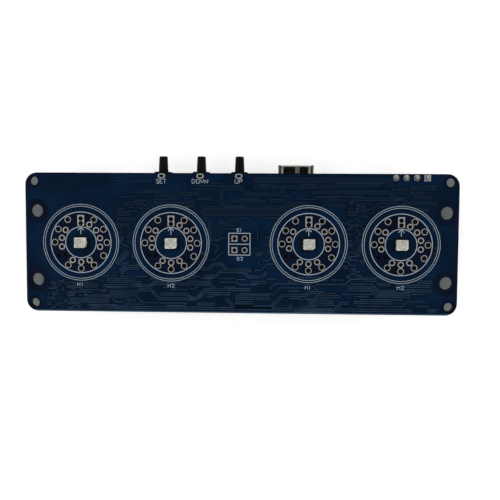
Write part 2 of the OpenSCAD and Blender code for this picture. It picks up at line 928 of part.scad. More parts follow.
module capacitor_bases() {
    b = can_base_w / 2;
    cut = 1.6;
    color("black")
        for (c = cans)
            hang(c)
                difference() {
                    translate([0, 0, tab_t])
                        linear_extrude(can_base_h - tab_t)
                            polygon([[-b, -b], [b - cut, -b], [b, -b + cut], [b, b - cut], [b - cut, b], [-b, b]]);
                    translate([0, 0, can_seat])
                        cylinder(h = can_base_h, r = can_r + drill_gap);
                }
}

module capacitor_tabs() {
    color("silver")
        for (c = cans, side = [-1, 1])
            hang(c)
                translate([side * (can_base_w / 2 + can_tab_out - can_tab_l / 2), 0, 0])
                    block([can_tab_l, can_tab_w, tab_t]);
}

// Storage inductor of the high-voltage converter
module inductor_shield() {
    color("dimgray")
        hang(inductor_at)
            translate([0, 0, body_lift])
                linear_extrude(inductor_h - body_lift)
                    difference() {
                        round_rect(inductor_w, inductor_w, 1);
                        circle(r = shield_bore_r);
                    }
}

module inductor_drum() {
    color("gray")
        hang(inductor_at) {
            for (z = [body_lift, inductor_h - inductor_lip - flange_h])
                translate([0, 0, z])
                    cylinder(h = flange_h, r = drum_r);
            translate([0, 0, body_lift])
                cylinder(h = inductor_h - body_lift - inductor_lip, r = post_r);
        }
}

module inductor_winding() {
    low = body_lift + flange_h + drill_gap;
    color("peru")
        hang(inductor_at)
            translate([0, 0, low])
                linear_extrude(inductor_h - inductor_lip - flange_h - drill_gap - low)
                    difference() {
                        circle(r = drum_r - 0.3);
                        circle(r = post_r + drill_gap);
                    }
}

module inductor_terminals() {
    color("silver")
        for (side = [-1, 1])
            hang([inductor_at.x, inductor_at.y + side * (inductor_w / 2 - 0.6)])
                block([inductor_pad_l, inductor_pad_w, body_lift]);
}

// Power transistor: its tab points left and its leads right
module mosfet_body() {
    color("black")
        hang(mosfet_at)
            difference() {
                block([mosfet_l, mosfet_w, mosfet_h]);
                translate([-mosfet_l / 2, 0, 0])
                    block([mosfet_l, mosfet_tab_w, mosfet_tab_t]);
            }
}

module mosfet_leads() {
    color("silver")
        hang(mosfet_at) {
            translate([-(mosfet_l / 2 + mosfet_tab_reach) / 2, 0, 0])
                block([mosfet_l / 2 + mosfet_tab_reach, mosfet_tab_w, mosfet_tab_t]);
            for (y = [-1, 1])
                translate([mosfet_l / 2, y * mosfet_lead_pitch, 0])
                    gull_lead(mosfet_lead_w, mosfet_lead_reach, 0.6 * mosfet_h, 1, mosfet_tab_t * 0.8);
        }
}

module diode_body() {
    color("black")
        hang(diode_at)
            block([diode_w, diode_l, diode_h - body_lift], body_lift);
}

module diode_terminals() {
    strap_t = 0.15;
    strap_w = 1.4;
    strap_foot = 0.9;
    color("silver")
        for (side = [-1, 1])
            hang([diode_at.x, diode_at.y + side * diode_l / 2]) {
                translate([0, side * strap_t / 2, 0])
                    block([strap_w, strap_t, diode_h / 2]);
                translate([0, -side * strap_foot / 2, 0])
                    block([strap_w, strap_foot, body_lift]);
            }
}

// Microcontroller, with eight leads on each side
module microcontroller_body() {
    color("black")
        hang(mcu_at)
            chip_shape(mcu_w, mcu_w, mcu_h);
}

module microcontroller_leads() {
    leads_a_side = 8;
    color("silver")
        hang(mcu_at)
            for (turn = [0, 90, 180, 270], i = [0 : leads_a_side - 1])
                rotate(turn)
                    translate([mcu_w / 2, (i - (leads_a_side - 1) / 2) * mcu_pitch, 0])
                        gull_lead(mcu_lead_w, mcu_reach, mcu_h / 2, lead_foot, mcu_lead_t);
}

// A moulded chip body with the round mark beside its first lead
module chip_shape(l, w, h) {
    difference() {
        block([l, w, h - body_lift], body_lift);
        translate([-l / 2 + 0.9, -w / 2 + 0.9, h - dimple_depth])
            cylinder(h = 2 * dimple_depth, r = dimple_r);
    }
}

module chip_leads(count) {
    for (side = [0, 180], i = [0 : count / 2 - 1])
        rotate(side)
            translate([(i - (count / 2 - 1) / 2) * chip_pitch, 0, 0])
                rotate(90)
                    translate([chip_w / 2, 0, 0])
                        gull_lead(chip_lead_w, lead_reach, chip_h / 2);
}

module driver_bodies() {
    color("black")
        for (d = drivers)
            hang(d)
                chip_shape(driver_l, chip_w, chip_h);
}

module driver_leads() {
    color("silver")
        for (d = drivers)
            hang(d)
                chip_leads(driver_lead_count);
}

module small_chip_bodies() {
    color("black") {
        hang(clock_chip_at)
            chip_shape(small_chip_l, chip_w, chip_h);
        hang(converter_chip_at, 90)
            chip_shape(small_chip_l, chip_w, chip_h);
    }
}

module small_chip_leads() {
    color("silver") {
        hang(clock_chip_at)
            chip_leads(small_chip_lead_count);
        hang(converter_chip_at, 90)
            chip_leads(small_chip_lead_count);
    }
}

module crystal() {
    color("gainsboro")
        hang(crystal_at) {
            block([crystal_l, crystal_w, crystal_base_h]);
            translate([0, 0, crystal_base_h])
                linear_extrude(crystal_lid_h)
                    round_rect(crystal_l - 2 * crystal_lid_inset, crystal_w - 2 * crystal_lid_inset, 0.3);
        }
}

// Coin cell and the sprung retainer that it slides out of, towards the front
module cell_retainer() {
    roof_z = cell_lift + cell_t + cell_clearance;
    color("silver")
        hang([cell_x, cell_y])
            union() {
                translate([0, 0, roof_z])
                    linear_extrude(retainer_t)
                        intersection() {
                            circle(r = retainer_in + retainer_t);
                            translate([-cell_dia, -cell_dia / 4])
                                square([2 * cell_dia, 2 * cell_dia]);
                        }
                linear_extrude(roof_z)
                    intersection() {
                        difference() {
                            circle(r = retainer_in + retainer_t);
                            circle(r = retainer_in);
                        }
                        difference() {
                            translate([-cell_dia, 0])
                                square([2 * cell_dia, cell_dia]);
                            translate([-retainer_wrap / 2, 0])
                                square([retainer_wrap, cell_dia]);
                        }
                    }
                for (side = [-1, 1])
                    translate([side * (retainer_in + retainer_t / 2), 0, 0]) {
                        translate([0, -retainer_wrap / 2, 0])
                            block([retainer_t, retainer_wrap, roof_z]);
                        translate([side * retainer_tab / 2, retainer_tab_w / 2, 0])
                            block([retainer_tab, retainer_tab_w, retainer_t]);
                    }
            }
}

module coin_cell_can() {
    color("silver")
        hang([cell_x, cell_y])
            translate([0, 0, cell_lift])
                difference() {
                    cylinder(h = cell_t, d = cell_dia);
                    translate([0, 0, -1])
                        cylinder(h = 1 + cell_t - cell_face_t, r = cell_dia / 2 - cell_rim_w);
                }
}

module coin_cell_cap() {
    color("gainsboro")
        hang([cell_x, cell_y])
            translate([0, 0, cell_lift])
                cylinder(h = cell_t - cell_face_t - fit_gap, r = cell_dia / 2 - cell_rim_w - fit_gap);
}

// Chip resistors: one large one for each tube's anode, and small ones by the separator lamps

module chip_resistors() {
    color("black") {
        for (r = big_resistors)
            hang(r)
                block([resistor_l, resistor_w, resistor_h]);
        for (r = small_resistors)
            hang(r)
                block([chip_part_l, chip_part_w, small_resistor_h]);
    }
}

// Chip capacitors: one behind each tube lamp, one before each front driver, and those of the clock,
// the microcontroller and the power socket

module chip_capacitors() {
    color("tan")
        for (c = concat(tubes, front_capacitors, other_capacitors))
            hang(c)
                block([chip_part_l, chip_part_w, chip_capacitor_h]);
}

// Small transistors that switch the separator lamps and the tube lamps

module transistor_bodies() {
    color("black")
        for (t = transistors)
            hang(t)
                block([transistor_w, transistor_l, transistor_h], body_lift);
}

module transistor_lead() {
    gull_lead(transistor_lead_w, transistor_reach, transistor_lead_rise, transistor_foot, mcu_lead_t);
}

module transistor_leads() {
    pitch = 0.95;
    color("silver")
        for (t = transistors)
            hang(t) {
                for (y = [-pitch, pitch])
                    translate([transistor_w / 2, y, 0])
                        transistor_lead();
                mirror([1, 0, 0])
                    translate([transistor_w / 2, 0, 0])
                        transistor_lead();
            }
}

circuit_board();
tube_pads(tubes[0]);  // tube_pads_h1
tube_pads(tubes[1]);  // tube_pads_h2
tube_pads(tubes[2]);  // tube_pads_m1
tube_pads(tubes[3]);  // tube_pads_m2
separator_pads();
switch_slot_pads();
header_pads();
led_housings();
led_lenses();
led_leads();
for (i = [0 : 2]) {
    button(button_xs[i]);
    switch_housing(button_xs[i]);
    switch_carrier(button_xs[i]);
    switch_dome(button_xs[i]);
    switch_terminals(button_xs[i]);
}
usb_shell();
usb_insulator();
usb_contacts();
header_strip();
header_pins();
header_solder();
capacitor_cans();
capacitor_windings();
capacitor_bungs();
capacitor_bases();
capacitor_tabs();
inductor_shield();
inductor_drum();
inductor_winding();
inductor_terminals();
mosfet_body();
mosfet_leads();
diode_body();
diode_terminals();
microcontroller_body();
microcontroller_leads();
driver_bodies();
driver_leads();
small_chip_bodies();
small_chip_leads();
crystal();
cell_retainer();
coin_cell_can();
coin_cell_cap();
chip_resistors();
chip_capacitors();
transistor_bodies();
transistor_leads();
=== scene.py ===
"""The looks of a four-tube clock board: dressed board, solder, lamps, buttons, socket and parts."""
from __future__ import annotations

import functools
import logging
import math
import random
from collections.abc import Callable, Iterable, Sequence
from dataclasses import dataclass, field
from enum import Enum

import bmesh
import bpy
from mathutils import Matrix, Vector
from mathutils.geometry import delaunay_2d_cdt


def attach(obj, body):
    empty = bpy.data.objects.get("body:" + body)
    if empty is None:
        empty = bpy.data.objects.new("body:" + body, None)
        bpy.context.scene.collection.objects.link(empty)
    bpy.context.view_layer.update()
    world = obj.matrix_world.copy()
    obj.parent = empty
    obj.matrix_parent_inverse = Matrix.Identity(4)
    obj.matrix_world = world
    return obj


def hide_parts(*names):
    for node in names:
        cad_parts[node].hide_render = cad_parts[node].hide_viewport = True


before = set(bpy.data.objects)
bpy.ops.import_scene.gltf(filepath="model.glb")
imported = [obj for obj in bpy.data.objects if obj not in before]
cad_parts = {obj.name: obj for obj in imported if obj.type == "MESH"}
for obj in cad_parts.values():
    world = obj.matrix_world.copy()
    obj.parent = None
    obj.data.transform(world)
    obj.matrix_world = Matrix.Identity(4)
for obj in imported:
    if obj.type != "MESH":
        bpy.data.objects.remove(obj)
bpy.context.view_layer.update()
LOG = logging.getLogger("clock_board")
MM = 0.001
TURN = 2 * math.pi

Rgb = tuple[float, float, float]
Spot = tuple[float, float]
Outline = list[Spot]
Level = tuple[float, float]


# Node trees: one method makes every node, and maths on values reads as Python


class Graph:
    """A shader or geometry tree that is built by calls."""

    def __init__(self, tree: bpy.types.NodeTree) -> None:
        """Keep the tree that the nodes go in."""
        self.tree = tree

    def node(self, kind: str, settings: dict | None = None, inputs: dict | None = None) -> bpy.types.Node:
        """Make one node.

        Args:
            kind: The node's type.
            settings: Properties of the node, which are set first.
            inputs: Values or sockets by the input's name or index.

        Returns:
            The new node.
        """
        made = self.tree.nodes.new(kind)
        for name, setting in (settings or {}).items():
            setattr(made, name, setting)
        for key, value in (inputs or {}).items():
            self.feed(made.inputs[key], value)
        return made

    def feed(self, socket: bpy.types.NodeSocket, value: object) -> None:
        """Give a socket a value, or link it to where the value comes from."""
        if isinstance(value, Value):
            self.tree.links.new(value.socket, socket)
        else:
            socket.default_value = value

    def out(self, made: bpy.types.Node, key: str | int = 0) -> Value:
        """Wrap one output of a node."""
        return Value(self, made.outputs[key])

    def get(self, kind: str, settings: dict | None = None, inputs: dict | None = None,
            key: str | int = 0) -> Value:
        """Make a node and wrap one of its outputs."""
        return self.out(self.node(kind, settings, inputs), key)


class Value:
    """A socket whose operators add Math nodes."""

    def __init__(self, graph: Graph, socket: bpy.types.NodeSocket) -> None:
        """Keep the socket and the tree that it is in."""
        self.graph = graph
        self.socket = socket

    def _maths(self, operation: str, first: object, second: object = 0.0) -> Value:
        """Add one Math node."""
        return self.graph.get("ShaderNodeMath", {"operation": operation}, {0: first, 1: second})

    def __add__(self, other: object) -> Value:
        """self + other."""
        return self._maths("ADD", self, other)

    __radd__ = __add__

    def __sub__(self, other: object) -> Value:
        """self - other."""
        return self._maths("SUBTRACT", self, other)

    def __rsub__(self, other: object) -> Value:
        """other - self."""
        return self._maths("SUBTRACT", other, self)

    def __mul__(self, other: object) -> Value:
        """self * other."""
        return self._maths("MULTIPLY", self, other)

    __rmul__ = __mul__

    def __truediv__(self, other: object) -> Value:
        """self / other."""
        return self._maths("DIVIDE", self, other)

    def __abs__(self) -> Value:
        """The size of self without its sign."""
        return self._maths("ABSOLUTE", self)

    def sine(self) -> Value:
        """The sine of self."""
        return self._maths("SINE", self)

    def root(self) -> Value:
        """The square root of self."""
        return self._maths("SQRT", self)

    def most(self, other: object) -> Value:
        """The larger of self and other."""
        return self._maths("MAXIMUM", self, other)

    def least(self, other: object) -> Value:
        """The smaller of self and other."""
        return self._maths("MINIMUM", self, other)

    def above(self, level: float) -> Value:
        """1 where self is above a level, otherwise 0."""
        return self._maths("GREATER_THAN", self, level)

    def below(self, level: float) -> Value:
        """1 where self is below a level, otherwise 0."""
        return self._maths("LESS_THAN", self, level)

    def ease(self, low: float, high: float) -> Value:
        """0 at low and 1 at high, with a smooth change between them."""
        return self.graph.get("ShaderNodeMapRange", {"interpolation_type": "SMOOTHSTEP"},
                              {"Value": self, "From Min": low, "From Max": high})


# Finishes


class Skin:
    """The shader of one finish and the patterns that feed it, all in millimetres."""

    def __init__(self, name: str, settings: dict[str, object]) -> None:
        """Make the material and its shader, with the values that are the same all over."""
        self.material = bpy.data.materials.new(name)
        self.material.use_nodes = True
        self.material.node_tree.nodes.clear()
        self.graph = Graph(self.material.node_tree)
        self.shader = self.graph.node("ShaderNodeBsdfPrincipled", inputs=settings)
        self.graph.node("ShaderNodeOutputMaterial", inputs={"Surface": self.graph.out(self.shader)})
        raw = self.graph.get("ShaderNodeTexCoord", key="Object")
        self.place = self.scaled(raw, (1 / MM, 1 / MM, 1 / MM))

    def scaled(self, vector: Value, by: Sequence[float]) -> Value:
        """Multiply a vector by another, part by part."""
        return self.graph.get("ShaderNodeVectorMath", {"operation": "MULTIPLY"}, {0: vector, 1: tuple(by)})

    def parts(self, vector: Value) -> tuple[Value, Value, Value]:
        """Split a vector into its three numbers."""
        split = self.graph.node("ShaderNodeSeparateXYZ", inputs={0: vector})
        return self.graph.out(split, 0), self.graph.out(split, 1), self.graph.out(split, 2)

    def local(self) -> tuple[Value, Value, Value]:
        """Where a point is on its own part of the piece, in millimetres."""
        return self.parts(self.graph.get("ShaderNodeAttribute", {"attribute_name": "local"}, key="Vector"))

    def noise(self, size: float, detail: float = 2.0, stretch: Sequence[float] = (1, 1, 1)) -> Value:
        """Noise from 0 to 1.

        Args:
            size: Size of its patches.
            detail: How many finer layers it has.
            stretch: How much longer the patches are along each axis.

        Returns:
            The noise, with most of it near the middle.
        """
        place = self.scaled(self.place, [1 / s for s in stretch])
        return self.graph.get("ShaderNodeTexNoise", None,
                              {"Vector": place, "Scale": 1 / size, "Detail": detail})

    def mix(self, first: object, second: object, share: object) -> Value:
        """Mix two colours; share 0 gives the first."""
        ends = [(*c, 1.0) if isinstance(c, tuple) else c for c in (first, second)]
        return self.graph.get("ShaderNodeMix", {"data_type": "RGBA"}, {0: share, 6: ends[0], 7: ends[1]}, 2)

    def set(self, **inputs: object) -> None:
        """Feed the shader; an underscore in a name stands for a space."""
        for name, value in inputs.items():
            self.graph.feed(self.shader.inputs[name.replace("_", " ")], value)

    def relief(self, height: Value, depth: float) -> None:
        """Raise the surface by height, which is 1 at depth millimetres."""
        self.set(Normal=self.graph.get("ShaderNodeBump", None,
                                       {"Strength": 1.0, "Distance": depth * MM, "Height": height}))


def shade(colour: Rgb, by: float) -> Rgb:
    """A colour made lighter or darker."""
    return tuple(min(1.0, c * by) for c in colour)


@dataclass(frozen=True)
class Finish:
    """What every finish has. Sizes are in millimetres and colours are linear."""

    name: str
    colour: Rgb
    roughness: float = 0.5
    specular: float = 0.5

    def settings(self) -> dict[str, object]:
        """The shader's values that are the same all over."""
        return {"Specular IOR Level": self.specular}

    def paint(self, skin: Skin) -> None:
        """Feed the shader with this finish's patterns."""
        raise NotImplementedError

    @functools.cache
    def material(self) -> bpy.types.Material:
        """The finish as a material, made once."""
        skin = Skin(f"{self.name}_finish", self.settings())
        self.paint(skin)
        return skin.material


@dataclass(frozen=True)
class Moulding(Finish):
    """Moulded plastic or epoxy with a fine spark-eroded grain."""

    grain: float = 0.06
    depth: float = 0.004

    def paint(self, skin: Skin) -> None:
        """Cloudy colour, uneven gloss and a grain."""
        cloud = skin.noise(1.6, 3)
        grain = skin.noise(self.grain, 2)
        skin.set(Base_Color=skin.mix(shade(self.colour, 0.78), shade(self.colour, 1.25), cloud.ease(0.3, 0.7)),
                 Roughness=self.roughness + (cloud - 0.5) * 0.22)
        skin.relief(grain, self.depth)


@dataclass(frozen=True)
class Metal(Finish):
    """Metal with a tarnish in patches and fine marks along one direction."""

    tarnish: Rgb = (0.3, 0.28, 0.25)
    patch: float = 1.2
    along: tuple[float, float, float] = (1, 1, 1)
    mark: float = 0.05
    depth: float = 0.002
    tarnished: float = 0.5
    patchy: tuple[float, float] = (0.42, 0.72)
    dulled: float = 0.12
    uneven: float = 0.16

    def settings(self) -> dict[str, object]:
        """Metal all over."""
        return {"Metallic": 1.0}

    def worn(self, skin: Skin) -> tuple[Value, Value]:
        """Mark the surface and tarnish it.

        Args:
            skin: The shader that is fed with the marks.

        Returns:
            The tarnished colour and the uneven roughness.
        """
        patches = skin.noise(self.patch, 4).ease(*self.patchy)
        marks = skin.noise(self.mark, 2, self.along)
        skin.relief(marks, self.depth)
        return (skin.mix(self.colour, self.tarnish, patches * self.tarnished),
                self.roughness + patches * self.dulled + (marks - 0.5) * self.uneven)

    def paint(self, skin: Skin) -> None:
        """Tarnish, uneven gloss and marks."""
        metal, rough = self.worn(skin)
        skin.set(Base_Color=metal, Roughness=rough)


@dataclass(frozen=True)
class Mask(Finish):
    """Solder mask: a satin film that shows the copper or the weave under it."""

    cloud: float = 7.0
    weave: float = 0.5
    weave_depth: float = 0.0012
    laminate: Rgb | None = None
    board: float = 1.6
    rim: tuple[float, float] = (53.0, 16.5)
    # painted shade on the walls of the drilled holes
    drilled_wall_shade: Rgb = (0.012, 0.012, 0.009)
    # front: painted highlight along the front edge of the upper face
    front: Rgb = (0.060, 0.105, 0.160)
    front_highlight_y: float = -17.1
    # rear: painted shade, mixed in towards the rear of the board
    rear: Rgb | None = None
    rear_shade_fade: tuple[float, float] = (-9.0, 9.0)
    # painted shade in a frame round each tube lamp
    lamp_surround_shade: Rgb | None = None
    tubes: tuple[float, float] = (28.6, 11.4)

    def paint(self, skin: Skin) -> None:
        """Uneven film over a weave, and the bare laminate where the board is cut, with painted shade and
        highlights.
        """
        x, y, z = skin.parts(skin.place)
        cloud = skin.noise(self.cloud, 3)
        dust = skin.noise(0.3, 2)
        film = skin.mix(shade(self.colour, 0.72), shade(self.colour, 1.3), cloud.ease(0.3, 0.7))
        rough = self.roughness + (dust - 0.5) * 0.18 + (cloud - 0.5) * 0.1
        # painted shade: darker towards the rear
        if self.rear:
            film = skin.mix(film, self.rear, y.ease(*self.rear_shade_fade))
        # painted shade round each tube lamp on the upper face
        if self.lamp_surround_shade:
            across = abs(abs(abs(x) - self.tubes[0]) - self.tubes[1])
            lamp = (1 - across.ease(1.75, 2.0)) * (1 - abs(y).ease(1.5, 1.72)) * z.above(1.0)
            film = skin.mix(film, self.lamp_surround_shade, lamp)
        if self.laminate:
            edge = z.above(0.04) * z.below(self.board - 0.04)
            fibre = skin.noise(0.12, 3, (6, 6, 1)).ease(0.3, 0.7)
            layers = (z * (TURN / 0.2)).sine() * 0.25 + 0.5
            cut = skin.mix(shade(self.laminate, 0.55), shade(self.laminate, 1.3), fibre * 0.6 + layers * 0.4)
            outer = (abs(x) - self.rim[0]).most(abs(y) - self.rim[1]).above(0)
            # the drilled holes' walls get painted shade; the outer cut faces keep the laminate's colour
            film = skin.mix(film, skin.mix(self.drilled_wall_shade, cut, outer), edge)
            # painted highlight along the board's front edge
            film = skin.mix(film, self.front, y.below(self.front_highlight_y) * z.above(self.board - 0.05))
            rough = rough + edge * 0.25
        skin.set(Base_Color=film, Roughness=rough)
        weave = (x * (TURN / self.weave)).sine() * (y * (TURN / self.weave)).sine()
        skin.relief(weave * 0.5 + dust * 0.5, self.weave_depth)


@dataclass(frozen=True)
class Ink(Finish):
    """Printed legend ink, a little thin in places."""

    under: Rgb = (0.02, 0.05, 0.09)

    def paint(self, skin: Skin) -> None:
        """Ink that shows the mask through its thin spots."""
        thin = skin.noise(0.22, 3).ease(0.5, 0.78)
        skin.set(Base_Color=skin.mix(self.colour, self.under, thin * 0.3),
                 Roughness=self.roughness + thin * 0.15)
        skin.relief(skin.noise(0.09, 2), 0.006)


@dataclass(frozen=True)
class Resin(Finish):
    """The clear resin over a lamp's dice: darker and less see-through towards its rim, with painted glints."""

    rim: Rgb = (0.42, 0.43, 0.34)
    radius: float = 1.07
    clear: float = 0.62
    # painted highlight colour
    glint_colour: Rgb = (1.0, 1.0, 0.78)
    dim: Rgb = (0.40, 0.42, 0.36)
    # painted highlights on the resin
    glints: tuple[tuple[float, float, float], ...] = ((0.3, -0.42, 0.40), (-0.24, -0.56, 0.30))
    dips: tuple[tuple[float, float, float], ...] = ((0.18, 0.24, 0.26), (-0.3, -0.2, 0.22), (-0.1, 0.78, 0.3))

    def settings(self) -> dict[str, object]:
        """A gloss coat all over."""
        return {"Coat Roughness": 0.08, "IOR": 1.53}

    def spots(self, x: Value, y: Value, places: Sequence[tuple[float, float, float]]) -> Value:
        """Soft round spots: 1 in the middle of each."""
        found: Value | float = 0.0
        for at_x, at_y, size in places:
            across, along = x - at_x, y - at_y
            found = (1 - (across * across + along * along).root().ease(size * 0.2, size)).most(found)
        return found

    def paint(self, skin: Skin) -> None:
        """Colour and see-through by the distance from the lamp's middle, darker spots, and painted glints."""
        x, y, _ = skin.local()
        out = (x * x + y * y).root() / self.radius
        rim = out.ease(0.72, 0.98)
        # painted glints over darker spots
        film = skin.mix(skin.mix(self.colour, self.dim, self.spots(x, y, self.dips)), self.glint_colour,
                        self.spots(x, y, self.glints))
        skin.set(Base_Color=skin.mix(film, self.rim, rim), Roughness=self.roughness,
                 Alpha=self.clear + rim * 0.4, Coat_Weight=1 - rim * 0.5)
        skin.relief(skin.noise(0.5, 1), 0.01)


@dataclass(frozen=True)
class Ceramic(Finish):
    """Fired ceramic or ferrite with fine specks."""

    speck: float = 0.05
    contrast: float = 0.5

    def paint(self, skin: Skin) -> None:
        """Specks in the colour, the gloss and the surface."""
        speck = skin.noise(self.speck, 3)
        cloud = skin.noise(self.speck * 14, 2)
        dark, pale = shade(self.colour, 1 - self.contrast), shade(self.colour, 1 + self.contrast)
        skin.set(Base_Color=skin.mix(dark, pale, speck.ease(0.35, 0.65)),
                 Roughness=self.roughness + (cloud - 0.5) * 0.25)
        skin.relief(speck, 0.004)


@dataclass(frozen=True)
class PadMetal(Metal):
    """Tinned copper on both faces of the board, with painted shade in the barrels between them."""

    # barrel: painted shade inside the plated holes
    barrel: Rgb = (0.005, 0.005, 0.005)
    board: float = 1.6

    def paint(self, skin: Skin) -> None:
        """As other metal on the faces, with painted shade in the barrels: dark, less metallic and rougher."""
        _, _, z = skin.parts(skin.place)
        painted_shade_mask = (z - 0.04).ease(0, 0.05) * (self.board - 0.04 - z).ease(0, 0.05)
        metal, rough = self.worn(skin)
        skin.set(Base_Color=skin.mix(metal, self.barrel, painted_shade_mask), Metallic=1 - painted_shade_mask * 0.7,
                 Roughness=rough + painted_shade_mask * 0.3)


@dataclass(frozen=True)
class ShellMetal(Metal):
    """The power socket's drawn shell, with a painted highlight along the back of its mouth and painted shade on the
    faces inside.
    """

    # inside: painted shade on the faces that look into the socket
    inside: Rgb = (0.012, 0.012, 0.010)
    # painted highlight colour across the back of the mouth
    lip: Rgb = (0.85, 0.84, 0.81)
    middle: tuple[float, float] = (13.9, -1.63)
    half: tuple[float, float] = (4.2, 1.36)
    mouth: float = 19.53
    lip_highlight_start: float = 19.36
    lip_highlight_half: float = 3.9

    def paint(self, skin: Skin) -> None:
        """As other metal outside, with painted shade on the faces that look into the socket and a painted highlight
        at the back of the mouth.
        """
        x, y, z = skin.parts(skin.place)
        across, up = abs(x - self.middle[0]), abs(z - self.middle[1])
        # painted shade inside the socket
        painted_shade_mask = across.below(self.half[0]) * up.below(self.half[1]) * y.below(self.mouth)
        # painted highlight at the back of the mouth
        lip = y.above(self.lip_highlight_start) * across.below(self.lip_highlight_half)
        worn, rough = self.worn(skin)
        metal = skin.mix(worn, self.lip, lip)
        skin.set(Base_Color=skin.mix(metal, self.inside, painted_shade_mask), Metallic=1 - lip * 0.75 - painted_shade_mask * 0.2,
                 Roughness=rough + painted_shade_mask * 0.3)


@dataclass(frozen=True)
class CanMetal(Metal):
    """A capacitor's drawn can: the dark polarity mark and the scored vent are on its flat end."""

    radius: float = 4.0
    end: float = 10.0
    mark_from: float = -1.75
    score: float = 0.09

    def paint(self, skin: Skin) -> None:
        """Lathe marks, the mark and the vent, by each can's own middle."""
        x, y, z = skin.local()
        out = (x * x + y * y).root()
        on_end = z.above(self.end) * out.below(self.radius - 0.25)
        mark = on_end * x.below(self.mark_from)
        swirl = skin.noise(self.mark, 2, self.along)
        patches = skin.noise(self.patch, 3).ease(0.4, 0.75)
        metal = skin.mix(self.colour, self.tarnish, patches * 0.35)
        skin.set(Base_Color=skin.mix(metal, (0.012, 0.012, 0.013), mark),
                 Roughness=self.roughness + (swirl - 0.5) * 0.2 + mark * 0.2, Metallic=1 - mark)
        arms = abs(x).below(self.score) * abs(y).below(self.radius * 0.62)
        arms = arms + abs(y).below(self.score) * abs(x).below(self.radius * 0.62) * (1 - arms)
        skin.relief(swirl * 0.02 - arms * on_end, 0.09)


@dataclass(frozen=True)
class CellMetal(Metal):
    """A coin cell's pressed steel, turned in rings, with a plus sign on its outer face."""

    face: float = 2.25
    arm: float = 1.5
    width: float = 0.22

    def paint(self, skin: Skin) -> None:
        """Rings, light scuffs and the sign, by the cell's own middle."""
        x, y, z = skin.local()
        out = (x * x + y * y).root()
        rings = (out * (TURN / 0.16)).sine() * 0.5 + 0.5
        scuffs = skin.noise(0.3, 4, (7, 1, 1)).ease(0.5, 0.7)
        upright = abs(x).below(self.width) * abs(y).below(self.arm)
        sign = upright + abs(y).below(self.width) * abs(x).below(self.arm) * (1 - upright)
        skin.set(Base_Color=skin.mix(self.colour, self.tarnish, scuffs * 0.4),
                 Roughness=self.roughness + rings * 0.08 + scuffs * 0.12)
        skin.relief(rings * 0.03 + scuffs * 0.02 - sign * z.above(self.face), 0.06)


@dataclass(frozen=True)
class Paper(Finish):
    """The floor: plain and pale, with a painted shadow right under the board that is darkest under its middle."""

    painted_shadow: Rgb = (0.225, 0.24, 0.24)
    # deep: the painted shadow's darkest colour, under the board's middle
    deep: Rgb = (0.02, 0.02, 0.02)
    glow: float = 0.5
    middle: Spot = (-0.75, -0.8)
    half: Spot = (57.1, 18.4)
    corner: float = 2.7
    rim: tuple[float, float] = (-0.9, 0.4)
    shadow_fall: tuple[float, float] = (-7.2, -3.2)

    def settings(self) -> dict[str, object]:
        """The glow is added as it is."""
        return {"Specular IOR Level": self.specular, "Emission Strength": 1.0}

    def paint(self, skin: Skin) -> None:
        """Pale outside the painted shadow under the board, and lifted to white where it is looked at."""
        x, y, _ = skin.parts(skin.place)
        past_x = abs(x - self.middle[0]) - (self.half[0] - self.corner)
        past_y = abs(y - self.middle[1]) - (self.half[1] - self.corner)
        out_x, out_y = past_x.most(0), past_y.most(0)
        out = (out_x * out_x + out_y * out_y).root() + past_x.most(past_y).least(0) - self.corner
        clear = out.ease(*self.rim)
        rays = skin.graph.node("ShaderNodeLightPath")
        looked_at = [skin.graph.out(rays, f"Is {kind} Ray") for kind in ("Camera", "Glossy", "Transmission")]
        lift = looked_at[0].most(looked_at[1]).most(looked_at[2]) * clear
        # painted shadow: deep under the board's middle, grey nearer its edges
        under = skin.mix(self.deep, self.painted_shadow, out.ease(*self.shadow_fall))
        skin.set(Base_Color=skin.mix(under, self.colour, clear), Roughness=self.roughness + clear * 0.05,
                 Emission_Color=skin.mix((0.0, 0.0, 0.0), (self.glow,) * 3, lift))


